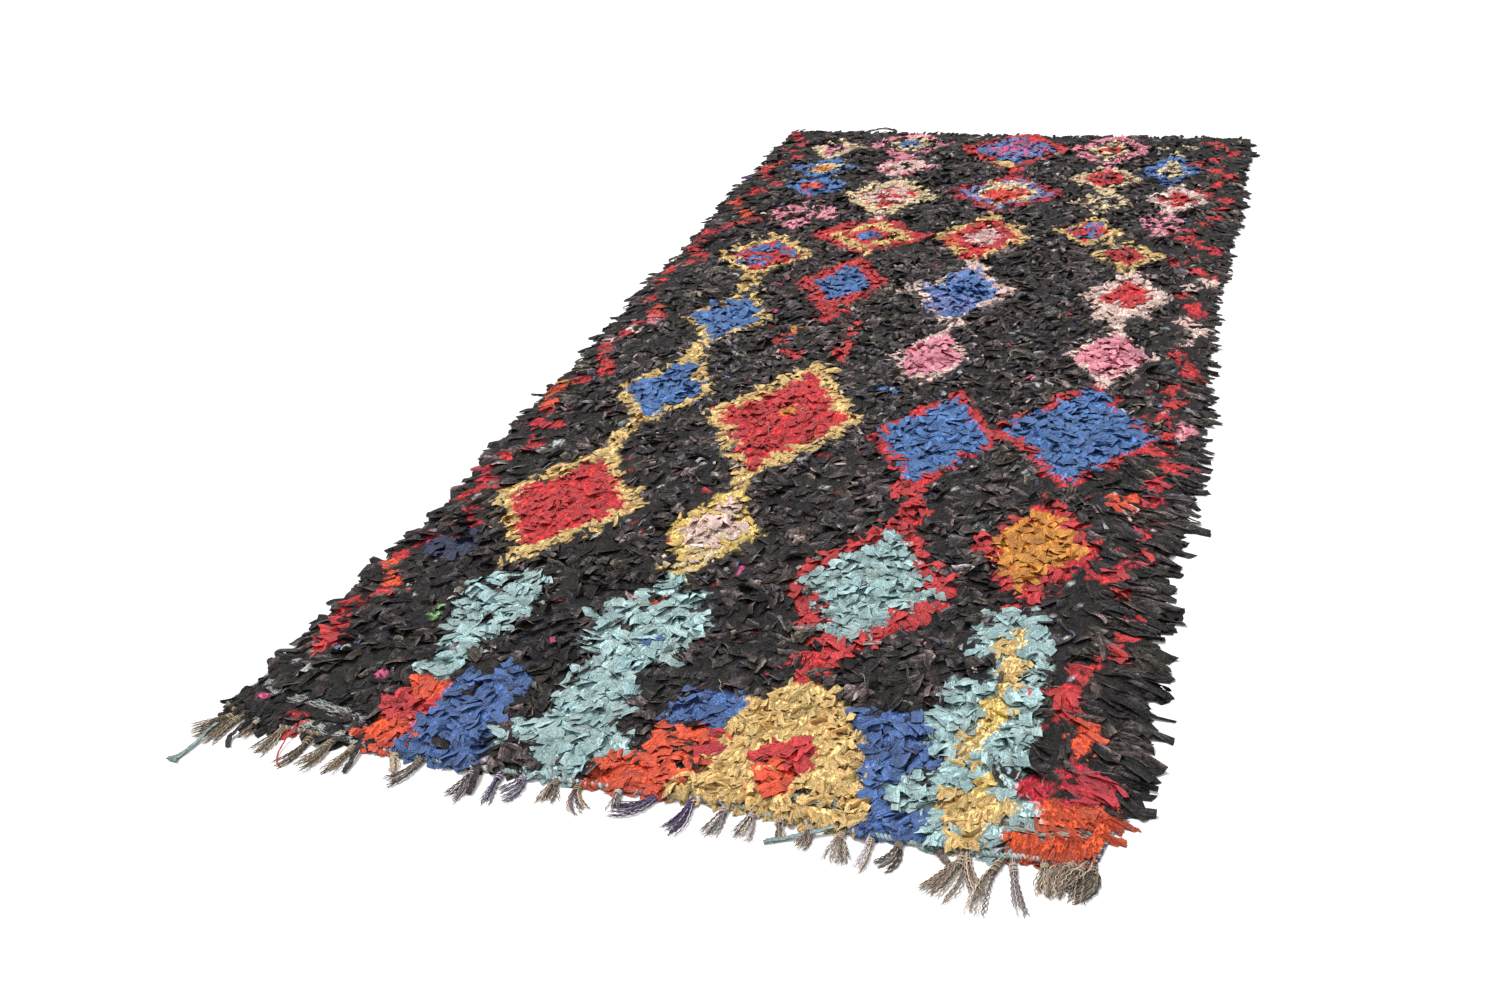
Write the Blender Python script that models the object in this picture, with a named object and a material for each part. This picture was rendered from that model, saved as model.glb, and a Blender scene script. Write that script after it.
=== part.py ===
"""Boucherouite rug: a long, flat, hand-knotted rag rug, lying on a floor.

The rug is one piece of cloth: a plain ground weave whose rows of knots hold cut
rag strips.  Here it is one flat solid as thick as weave and pile together, with
the uneven outline of the real rug and a pile that thins out at its borders.
Along the front end runs a comb: the twined end cord with the knotted warp ends
(tassels) that stand out of it.  At the back end one rag end lies loose.

Units are metres, +Z is up, X runs across the rug and Y along it, from the
fringed front end to the back end.  The origin is the centre of the footprint,
on the floor.
"""

import bisect
import math

import bmesh
import bpy

# ----------------------------------------------------------------- dimensions
GAP = 0.0003            # between pieces that meet
LIP = 0.009             # height of weave and squashed pile at the very border
PILE_TOP = 0.031        # usual height of the pile over the floor
PILE_UNEVEN = 0.0035    # how far the pile's top wanders up and down
BORDER_STEPS = (0.0, 0.014, 0.034)   # the pile rises to full height over these
COLUMNS = 20            # even spans across, between the borders
ROWS = 42               # even spans along, between the borders

CORD_DEPTH = 0.012      # the twined end cord: width along Y
CORD_HEIGHT = 0.007     # and height
KNOT_HEIGHT = 0.013     # each tassel's knot
BRUSH_HEIGHT = 0.009    # its brush of loose yarn, in the middle
TIP_HEIGHT = 0.004      # and at its tip

END_WIDTH = 0.009       # the loose rag end at the back
END_HEIGHT = 0.005

# The outline, measured from the front left corner of the rug (columns named).
# left and right borders: (y, x)
LEFT_EDGE = (
    (0.00, -0.018), (0.06, -0.022), (0.14, 0.002), (0.30, 0.010), (0.48, 0.014),
    (0.64, 0.030), (0.80, 0.036), (1.00, 0.018), (1.18, 0.027), (1.30, 0.014),
    (1.44, 0.029), (1.68, 0.023), (1.98, 0.007), (2.18, 0.018), (2.48, 0.010),
    (2.80, 0.006), (3.06, 0.008), (3.34, -0.004),
)
RIGHT_EDGE = (
    (0.00, 1.482), (0.10, 1.500), (0.21, 1.515), (0.40, 1.508), (0.60, 1.494),
    (0.72, 1.488), (0.90, 1.503), (1.10, 1.511), (1.42, 1.518), (1.60, 1.501),
    (1.88, 1.497), (2.00, 1.486), (2.20, 1.503), (2.42, 1.500), (2.62, 1.512),
    (2.80, 1.508), (2.96, 1.496), (3.18, 1.505), (3.34, 1.500),
)
# front and back borders: (x, y)
FRONT_EDGE = (
    (-0.03, 0.058), (0.03, 0.040), (0.10, 0.022), (0.20, 0.018), (0.34, 0.004),
    (0.48, -0.002), (0.62, 0.001), (0.78, 0.002), (0.92, 0.006), (1.04, -0.008),
    (1.16, -0.012), (1.30, -0.014), (1.42, -0.006), (1.53, 0.012),
)
BACK_EDGE = (
    (-0.03, 3.330), (0.12, 3.334), (0.30, 3.328), (0.48, 3.322), (0.62, 3.312),
    (0.78, 3.326), (0.90, 3.306), (1.04, 3.320), (1.20, 3.310), (1.36, 3.322),
    (1.53, 3.318),
)

# The knotted warp ends: root and tip across the rug, how far each one reaches
# out of the end cord, and the width of its brush.
#            root_x  tip_x   reach  width
TASSELS = (
    (0.006, -0.012, 0.086, 0.030),
    (0.062, 0.060, 0.048, 0.020),
    (0.120, 0.122, 0.062, 0.026),
    (0.186, 0.180, 0.086, 0.018),
    (0.226, 0.216, 0.080, 0.024),
    (0.272, 0.272, 0.070, 0.026),
    (0.392, 0.374, 0.066, 0.024),
    (0.496, 0.502, 0.078, 0.018),
    (0.552, 0.562, 0.068, 0.018),
    (0.588, 0.598, 0.044, 0.020),
    (0.642, 0.652, 0.048, 0.026),
    (0.690, 0.714, 0.046, 0.020),
    (0.760, 0.772, 0.060, 0.022),
    (0.812, 0.798, 0.052, 0.024),
    (0.870, 0.864, 0.074, 0.024),
    (0.926, 0.924, 0.070, 0.022),
    (0.972, 0.966, 0.056, 0.026),
    (1.014, 1.030, 0.042, 0.020),
    (1.062, 1.074, 0.048, 0.020),
    (1.114, 1.122, 0.060, 0.032),
    (1.156, 1.162, 0.074, 0.016),
    (1.198, 1.206, 0.058, 0.022),
    (1.234, 1.262, 0.100, 0.012),
    (1.292, 1.280, 0.094, 0.030),
    (1.330, 1.346, 0.116, 0.022),
    (1.372, 1.398, 0.106, 0.014),
    (1.410, 1.412, 0.062, 0.018),
    (1.452, 1.440, 0.066, 0.044),
)

# The loose rag end: points of its middle line past the back border (x, y).
LOOSE_END = (
    (0.252, 0.0), (0.262, 0.034), (0.284, 0.056), (0.312, 0.062), (0.338, 0.050),
    (0.352, 0.030),
)


# ------------------------------------------------------------------- helpers
def along(table, t):
    """The table's second column at t, eased from row to row."""
    keys = [row[0] for row in table]
    i = min(max(bisect.bisect_right(keys, t) - 1, 0), len(table) - 2)
    (t0, a), (t1, b) = table[i], table[i + 1]
    s = min(max((t - t0) / (t1 - t0), 0.0), 1.0)
    return a + (b - a) * s * s * (3.0 - 2.0 * s)


def ease(t):
    t = min(max(t, 0.0), 1.0)
    return t * t * (3.0 - 2.0 * t)


def uneven(x, y):
    """Slow swells of the pile, from -1 to 1."""
    return (
        0.40 * math.sin(5.1 * x + 2.3 * y + 0.4)
        + 0.30 * math.sin(9.7 * x - 4.1 * y + 1.9)
        + 0.20 * math.sin(3.3 * x + 11.9 * y + 5.0)
        + 0.10 * math.sin(17.0 * x + 7.7 * y + 2.6)
    )


def spans(length, even):
    """Distances from 0 to length, close together near both ends."""
    inner = length - 2 * BORDER_STEPS[-1]
    middle = [BORDER_STEPS[-1] + inner * i / even for i in range(even + 1)]
    return (
        list(BORDER_STEPS[:-1]) + middle + [length - d for d in reversed(BORDER_STEPS[:-1])]
    )


def material(name, colour, roughness):
    made = bpy.data.materials.new(name)
    made.use_nodes = True
    shader = made.node_tree.nodes["Principled BSDF"]
    shader.inputs["Base Color"].default_value = (*colour, 1.0)
    shader.inputs["Roughness"].default_value = roughness
    shader.inputs["Metallic"].default_value = 0.0
    made.diffuse_color = (*colour, 1.0)
    return made


def solid(name, points, faces, look):
    mesh = bpy.data.meshes.new(name)
    mesh.from_pydata(points, [], faces)
    mesh.update()
    body = bmesh.new()
    body.from_mesh(mesh)
    bmesh.ops.recalc_face_normals(body, faces=body.faces)
    body.to_mesh(mesh)
    body.free()
    mesh.materials.append(look)
    made = bpy.data.objects.new(name, mesh)
    bpy.context.scene.collection.objects.link(made)
    return made


# ---------------------------------------------------------------- rug's body
def footprint(across, down):
    """A point of the outline's net; across and down run from 0 to 1."""
    x = 1.5 * across
    y = along(FRONT_EDGE, x) + down * (along(BACK_EDGE, x) - along(FRONT_EDGE, x))
    x = along(LEFT_EDGE, y) + across * (along(RIGHT_EDGE, y) - along(LEFT_EDGE, y))
    y = along(FRONT_EDGE, x) + down * (along(BACK_EDGE, x) - along(FRONT_EDGE, x))
    return x, y


def rug_body(shift):
    us, vs = spans(1.50, COLUMNS), spans(3.32, ROWS)
    nu, nv = len(us), len(vs)
    top, bottom = [], []
    for v in vs:
        for u in us:
            x, y = footprint(u / 1.50, v / 3.32)
            inside = min(u, 1.50 - u, v, 3.32 - v)
            rise = ease(inside / BORDER_STEPS[-1])
            height = PILE_TOP + PILE_UNEVEN * uneven(x, y)
            top.append((x + shift[0], y + shift[1], LIP + (height - LIP) * rise))
            bottom.append((x + shift[0], y + shift[1], 0.0))
    n = nu * nv
    faces = []
    for j in range(nv - 1):
        for i in range(nu - 1):
            a, b, c, d = j * nu + i, j * nu + i + 1, (j + 1) * nu + i + 1, (j + 1) * nu + i
            faces += [(a, b, c), (a, c, d)]
            faces += [(n + a, n + c, n + b), (n + a, n + d, n + c)]
    ring = (
        [i for i in range(nu)]
        + [j * nu + nu - 1 for j in range(1, nv)]
        + [(nv - 1) * nu + i for i in range(nu - 2, -1, -1)]
        + [j * nu for j in range(nv - 2, 0, -1)]
    )
    for k, a in enumerate(ring):
        b = ring[(k + 1) % len(ring)]
        faces += [(a, n + a, n + b), (a, n + b, b)]
    return solid("rug_body", top + bottom, faces, material("rag_pile", (0.035, 0.032, 0.031), 0.85))


# -------------------------------------------------------------- end and fringe
def end_cord(shift):
    """The twined cord along the front border, one closed bar."""
    points = []
    x0, x1 = footprint(0.0, 0.0)[0], footprint(1.0, 0.0)[0]
    corners = [footprint(u / 1.50, 0.0)[0] for u in spans(1.50, COLUMNS)]
    stations = [x0 + 0.002, *corners[1:-1], x1 - 0.002]
    steps = len(stations) - 1
    for x in stations:
        back = front_line(x) - GAP
        for y, z in (
            (back, 0.0), (back - CORD_DEPTH, 0.0), (back - CORD_DEPTH, CORD_HEIGHT * 0.6),
            (back - CORD_DEPTH * 0.5, CORD_HEIGHT), (back, CORD_HEIGHT * 0.8),
        ):
            points.append((x + shift[0], y + shift[1], z))
    faces = [(4, 3, 2, 1, 0), tuple(5 * steps + i for i in range(5))]
    for k in range(steps):
        for i in range(5):
            a, b = 5 * k + i, 5 * k + (i + 1) % 5
            faces.append((a, b, b + 5, a + 5))
    return points, faces


_line = []


def front_line(x):
    """The body's real front border, as its straight facets make it."""
    if not _line:
        _line.extend(footprint(u / 1.50, 0.0) for u in spans(1.50, COLUMNS))
    keys = [p[0] for p in _line]
    i = min(max(bisect.bisect_right(keys, x) - 1, 0), len(_line) - 2)
    (x0, y0), (x1, y1) = _line[i], _line[i + 1]
    return y0 + (y1 - y0) * (x - x0) / (x1 - x0)


def tassel(row, shift):
    """One knotted warp end: neck, knot, brush and tip, flat on the floor."""
    root_x, tip_x, reach, width = row
    y0 = front_line(root_x) - GAP - CORD_DEPTH * 0.45
    y1 = front_line(root_x) - GAP - CORD_DEPTH - reach
    #            how far  half width     height
    sections = (
        (0.00, 0.0050, CORD_HEIGHT * 0.5),
        (0.16, 0.0060, CORD_HEIGHT * 0.9),
        (0.26, 0.0080, KNOT_HEIGHT),
        (0.38, 0.0060, KNOT_HEIGHT * 0.75),
        (0.66, width * 0.46, BRUSH_HEIGHT),
        (0.88, width * 0.50, BRUSH_HEIGHT * 0.7),
        (1.00, width * 0.36, TIP_HEIGHT),
    )
    points, faces = [], []
    length = math.hypot(tip_x - root_x, y1 - y0)
    side = (-(y1 - y0) / length, (tip_x - root_x) / length)
    for far, half, height in sections:
        x, y = root_x + (tip_x - root_x) * far, y0 + (y1 - y0) * far
        lift = 0.0008 if far == 0.0 else 0.0
        for across, up in ((-1, 0.0), (1, 0.0), (1.0, 0.55), (0.5, 1.0), (-0.5, 1.0), (-1.0, 0.55)):
            points.append(
                (
                    x + side[0] * half * across + shift[0],
                    y + side[1] * half * across + shift[1],
                    lift + up * height,
                )
            )
    for k in range(len(sections) - 1):
        for i in range(6):
            a, b = 6 * k + i, 6 * k + (i + 1) % 6
            faces.append((a, b, b + 6, a + 6))
    last = 6 * (len(sections) - 1)
    faces += [(5, 4, 3, 2, 1, 0), tuple(last + i for i in range(6))]
    return points, faces


def fringe(shift):
    look = material("warp_yarn", (0.30, 0.23, 0.18), 0.9)
    comb = solid("warp_fringe", *end_cord(shift), look)
    for k, row in enumerate(TASSELS):
        tooth = solid(f"tooth_{k:02d}", *tassel(row, shift), look)
        join = comb.modifiers.new(f"join_{k:02d}", "BOOLEAN")
        join.operation, join.object, join.solver = "UNION", tooth, "EXACT"
        tooth.hide_render = True
        tooth.display_type = "WIRE"
    return comb


def loose_end(shift):
    """A rag end that lies on the floor behind the back border."""
    start = along(BACK_EDGE, LOOSE_END[0][0]) + GAP + 0.0012
    line = [(x, start + y) for x, y in LOOSE_END]
    fine = []
    for i in range(len(line) - 1):
        p0, p1 = line[max(i - 1, 0)], line[i]
        p2, p3 = line[i + 1], line[min(i + 2, len(line) - 1)]
        for s in (0.0, 0.33, 0.67):
            fine.append(
                tuple(
                    0.5
                    * (
                        2 * p1[a]
                        + (p2[a] - p0[a]) * s
                        + (2 * p0[a] - 5 * p1[a] + 4 * p2[a] - p3[a]) * s * s
                        + (3 * p1[a] - p0[a] - 3 * p2[a] + p3[a]) * s**3
                    )
                    for a in (0, 1)
                )
            )
    fine.append(line[-1])
    points, faces = [], []
    for k, (x, y) in enumerate(fine):
        if k == 0:
            dx, dy = 0.0, 1.0
        else:
            nx, ny = fine[min(k + 1, len(fine) - 1)]
            px, py = fine[k - 1]
            dx, dy = nx - px, ny - py
        size = math.hypot(dx, dy)
        sx, sy = dy / size, -dx / size
        half = END_WIDTH / 2 * (1.35 if k == len(fine) - 1 else 1.0)
        for across, z in ((-1, 0.0), (1, 0.0), (1, END_HEIGHT * 0.6), (0, END_HEIGHT), (-1, END_HEIGHT * 0.6)):
            points.append((x + sx * half * across + shift[0], y + sy * half * across + shift[1], z))
    for k in range(len(fine) - 1):
        for i in range(5):
            a, b = 5 * k + i, 5 * k + (i + 1) % 5
            faces.append((a, b, b + 5, a + 5))
    last = 5 * (len(fine) - 1)
    faces += [(4, 3, 2, 1, 0), tuple(last + i for i in range(5))]
    return solid("loose_end", points, faces, material("loose_rag", (0.05, 0.05, 0.055), 0.85))


def extent(objects):
    """Lowest and highest x and y of the finished shapes."""
    bpy.context.view_layer.update()
    graph = bpy.context.evaluated_depsgraph_get()
    xs, ys = [], []
    for made in objects:
        mesh = made.evaluated_get(graph).to_mesh()
        xs += [p.co.x for p in mesh.vertices]
        ys += [p.co.y for p in mesh.vertices]
        made.evaluated_get(graph).to_mesh_clear()
    return min(xs), max(xs), min(ys), max(ys)


def build(shift):
    for old in list(bpy.data.objects):
        bpy.data.objects.remove(old, do_unlink=True)
    return [rug_body(shift), fringe(shift), loose_end(shift)]


# The first pass finds the footprint's centre, and the second is built round it.
x_low, x_high, y_low, y_high = extent(build((0.0, 0.0)))
CENTRE = ((x_low + x_high) / 2, (y_low + y_high) / 2)
build((-CENTRE[0], -CENTRE[1]))
print("centre of the footprint", round(CENTRE[0], 5), round(CENTRE[1], 5))
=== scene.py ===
import math

import bpy
import numpy as np
from mathutils import Matrix, Vector


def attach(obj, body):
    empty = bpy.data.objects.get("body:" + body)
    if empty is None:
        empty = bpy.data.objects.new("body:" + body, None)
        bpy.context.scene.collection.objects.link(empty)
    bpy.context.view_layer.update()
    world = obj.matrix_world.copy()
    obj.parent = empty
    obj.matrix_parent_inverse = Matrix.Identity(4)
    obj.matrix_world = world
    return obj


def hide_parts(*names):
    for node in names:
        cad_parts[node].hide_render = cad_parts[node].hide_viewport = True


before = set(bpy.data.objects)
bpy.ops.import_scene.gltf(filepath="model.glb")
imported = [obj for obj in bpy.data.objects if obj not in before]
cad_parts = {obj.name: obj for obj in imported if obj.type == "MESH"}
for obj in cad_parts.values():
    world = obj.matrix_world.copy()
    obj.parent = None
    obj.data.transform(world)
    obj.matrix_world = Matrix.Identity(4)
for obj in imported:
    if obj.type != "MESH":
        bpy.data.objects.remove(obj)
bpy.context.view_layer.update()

# ------------------------------------------------------------------ the frame
# Plan sizes below are in metres from the rug's front left corner, x across and
# y away from the fringed end.  CENTRE is the footprint's centre in that plan.
CENTRE = np.array([0.74661, 1.62784])
PILE_PLANE = 0.022

# The outline, as in the solids (left and right: y, x; front and back: x, y).
LEFT_EDGE = (
    (0.00, -0.018), (0.06, -0.022), (0.14, 0.002), (0.30, 0.010), (0.48, 0.014),
    (0.64, 0.030), (0.80, 0.036), (1.00, 0.018), (1.18, 0.027), (1.30, 0.014),
    (1.44, 0.029), (1.68, 0.023), (1.98, 0.007), (2.18, 0.018), (2.48, 0.010),
    (2.80, 0.006), (3.06, 0.008), (3.34, -0.004),
)
RIGHT_EDGE = (
    (0.00, 1.482), (0.10, 1.500), (0.21, 1.515), (0.40, 1.508), (0.60, 1.494),
    (0.72, 1.488), (0.90, 1.503), (1.10, 1.511), (1.42, 1.518), (1.60, 1.501),
    (1.88, 1.497), (2.00, 1.486), (2.20, 1.503), (2.42, 1.500), (2.62, 1.512),
    (2.80, 1.508), (2.96, 1.496), (3.18, 1.505), (3.34, 1.500),
)
FRONT_EDGE = (
    (-0.03, 0.058), (0.03, 0.040), (0.10, 0.022), (0.20, 0.018), (0.34, 0.004),
    (0.48, -0.002), (0.62, 0.001), (0.78, 0.002), (0.92, 0.006), (1.04, -0.008),
    (1.16, -0.012), (1.30, -0.014), (1.42, -0.006), (1.53, 0.012),
)
BACK_EDGE = (
    (-0.03, 3.330), (0.12, 3.334), (0.30, 3.328), (0.48, 3.322), (0.62, 3.312),
    (0.78, 3.326), (0.90, 3.306), (1.04, 3.320), (1.20, 3.310), (1.36, 3.322),
    (1.53, 3.318),
)


def along(table, t):
    """The table's second column at t (an array), eased from row to row."""
    keys = np.array([row[0] for row in table])
    vals = np.array([row[1] for row in table])
    t = np.asarray(t, float)
    i = np.clip(np.searchsorted(keys, t, side="right") - 1, 0, len(keys) - 2)
    s = np.clip((t - keys[i]) / (keys[i + 1] - keys[i]), 0, 1)
    return vals[i] + (vals[i + 1] - vals[i]) * s * s * (3 - 2 * s)


def ease(t):
    t = np.clip(t, 0, 1)
    return t * t * (3 - 2 * t)


def inside(x, y):
    """How far a plan point is inside the outline; negative outside it."""
    return np.minimum.reduce(
        [
            x - along(LEFT_EDGE, y),
            along(RIGHT_EDGE, y) - x,
            y - along(FRONT_EDGE, x),
            along(BACK_EDGE, x) - y,
        ]
    )


# --------------------------------------------------------------------- camera
def add_camera():
    x, y, z = 1.67371, -1.67819, 1.5471
    yaw, pitch, roll, focal = 0.375, 0.51634, -0.10059, 1559.7325
    fwd = Vector((-math.sin(yaw) * math.cos(pitch), math.cos(yaw) * math.cos(pitch), -math.sin(pitch)))
    right = Vector((math.cos(yaw), math.sin(yaw), 0.0))
    up = right.cross(fwd)
    r2 = math.cos(roll) * right + math.sin(roll) * up
    u2 = -math.sin(roll) * right + math.cos(roll) * up
    data = bpy.data.cameras.new("camera")
    data.sensor_width = 36.0
    data.lens = 36.0 * focal / 1500.0
    data.clip_start, data.clip_end = 0.05, 200.0
    cam = bpy.data.objects.new("camera", data)
    bpy.context.scene.collection.objects.link(cam)
    turn = Matrix((r2, u2, -fwd)).transposed()
    cam.matrix_world = Matrix.Translation((x - CENTRE[0], y - CENTRE[1], z + PILE_PLANE)) @ turn.to_4x4()
    bpy.context.scene.camera = cam
    return cam


add_camera()

# -------------------------------------------------------------------- colours
def linear(rgb):
    c = np.array(rgb, float) / 255.0
    return np.where(c <= 0.04045, c / 12.92, ((c + 0.055) / 1.055) ** 2.4)


# Cloth and yarn colours, sRGB 0 to 255.
COLOURS = {
    "dark": (57, 50, 49),
    "soot": (43, 40, 42),
    "olive_black": (57, 52, 46),
    "navy": (42, 50, 80),
    "red": (200, 50, 54),
    "crimson": (190, 42, 58),
    "scarlet": (228, 84, 50),
    "rust": (206, 80, 42),
    "orange": (236, 150, 64),
    "mustard": (216, 144, 54),
    "sand": (224, 190, 126),
    "yellow": (229, 197, 116),
    "cream": (224, 202, 162),
    "pale": (228, 198, 188),
    "pink": (230, 147, 163),
    "magenta": (196, 84, 126),
    "blue": (80, 121, 180),
    "violet": (120, 133, 189),
    "cobalt": (75, 106, 162),
    "teal": (164, 192, 192),
    "aqua": (146, 190, 188),
    "green": (132, 180, 120),
    "white": (214, 208, 204),
    "purple": (98, 74, 128),
    # yarns
    "brown": (172, 148, 128),
    "tan": (210, 188, 164),
    "olive": (160, 142, 108),
    "umber": (112, 98, 90),
    "plum": (88, 64, 116),
    "lilac": (216, 204, 212),
    "gold": (214, 166, 80),
    "grey": (184, 188, 186),
    "steel": (146, 168, 166),
    "thread": (206, 66, 64),
}
NAMES = list(COLOURS)
CODE = {name: i for i, name in enumerate(NAMES)}
LINEAR = np.array([linear(COLOURS[n]) for n in NAMES])

# -------------------------------------------------------- the knotted pattern
# Lozenges of the field: middle, half sizes, rings from outside in (colour,
# metres), the fill, and a second colour mixed into the fill with its share.
LOZENGES = (
    # x      y      half_w half_h rings                                        fill     second    share
    (0.200, 3.140, 0.078, 0.108, (("cream", 0.022),),                          "pink", "dark", 0.45),
    (0.445, 3.190, 0.130, 0.145, (("pink", 0.024), ("dark", 0.018), ("cream", 0.022)), "blue", "blue", 0.0),
    (0.800, 3.150, 0.176, 0.188, (("red", 0.026), ("dark", 0.006), ("blue", 0.016)), "violet", "magenta", 0.50),
    (1.090, 3.160, 0.118, 0.168, (("pink", 0.026), ("dark", 0.020), ("cream", 0.018)), "dark", "red", 0.40),
    (0.225, 2.940, 0.112, 0.094, (("blue", 0.026), ("cream", 0.016)),          "orange", "dark", 0.22),
    (0.480, 2.965, 0.106, 0.096, (("pink", 0.014), ("pale", 0.034)),           "dark", "pale", 0.30),
    (1.290, 2.962, 0.082, 0.128, (("blue", 0.026), ("cream", 0.016)),          "cream", "dark", 0.50),
    (1.115, 2.885, 0.104, 0.114, (("cream", 0.020),),                          "red", "dark", 0.16),
    (0.245, 2.765, 0.096, 0.084, (("blue", 0.028),),                           "red", "scarlet", 0.30),
    (0.500, 2.690, 0.138, 0.166, (("cream", 0.030),),                          "pale", "red", 0.42),
    (0.840, 2.740, 0.168, 0.170, (("crimson", 0.024), ("violet", 0.016), ("cream", 0.022)), "scarlet", "red", 0.5),
    (1.130, 2.680, 0.082, 0.108, (("cream", 0.010),),                          "dark", "cream", 0.42),
    (1.332, 2.722, 0.080, 0.114, (("pale", 0.024),),                           "red", "pale", 0.20),
    (0.285, 2.530, 0.118, 0.128, (),                                           "pink", "dark", 0.45),
    (1.310, 2.500, 0.062, 0.122, (),                                           "pink", "dark", 0.42),
    (0.525, 2.360, 0.172, 0.148, (("red", 0.030), ("sand", 0.028), ("red", 0.024)), "blue", "blue", 0.0),
    (0.845, 2.380, 0.136, 0.184, (("sand", 0.022), ("red", 0.026), ("crimson", 0.014)), "pale", "pink", 0.30),
    (1.125, 2.445, 0.086, 0.112, (("sand", 0.018),),                           "red", "blue", 0.42),
    (1.245, 2.275, 0.088, 0.104, (("sand", 0.018), ("dark", 0.006)),           "red", "dark", 0.22),
    (0.270, 2.185, 0.136, 0.158, (("sand", 0.024),),                           "red", "blue", 0.40),
    (0.545, 2.005, 0.122, 0.188, (("red", 0.034),),                            "blue", "blue", 0.0),
    (0.868, 1.985, 0.116, 0.198, (("pale", 0.015),),                           "blue", "violet", 0.30),
    (1.278, 1.990, 0.106, 0.176, (("pale", 0.029),),                           "red", "pale", 0.16),
    (0.312, 1.760, 0.108, 0.166, (("sand", 0.017),),                           "blue", "blue", 0.0),
    (0.876, 1.595, 0.086, 0.160, (("pale", 0.012),),                           "pink", "pale", 0.04),
    (1.286, 1.650, 0.096, 0.150, (("pale", 0.012),),                           "pink", "magenta", 0.05),
    (0.306, 1.335, 0.112, 0.186, (("sand", 0.018),),                           "blue", "blue", 0.0),
    (0.624, 1.236, 0.180, 0.288, (("sand", 0.028),),                           "red", "crimson", 0.10),
    (0.976, 1.195, 0.138, 0.228, (("red", 0.018),),                            "blue", "blue", 0.0),
    (1.270, 1.262, 0.168, 0.240, (("red", 0.016),),                            "blue", "blue", 0.0),
    (0.290, 0.802, 0.164, 0.240, (("sand", 0.027),),                           "red", "crimson", 0.06),
    (0.634, 0.748, 0.094, 0.176, (("yellow", 0.024),),                         "pale", "cream", 0.16),
    (0.988, 0.606, 0.164, 0.256, (("red", 0.031),),                            "teal", "teal", 0.0),
    (1.258, 0.795, 0.114, 0.196, (("red", 0.022),),                            "mustard", "orange", 0.15),
)

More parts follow.
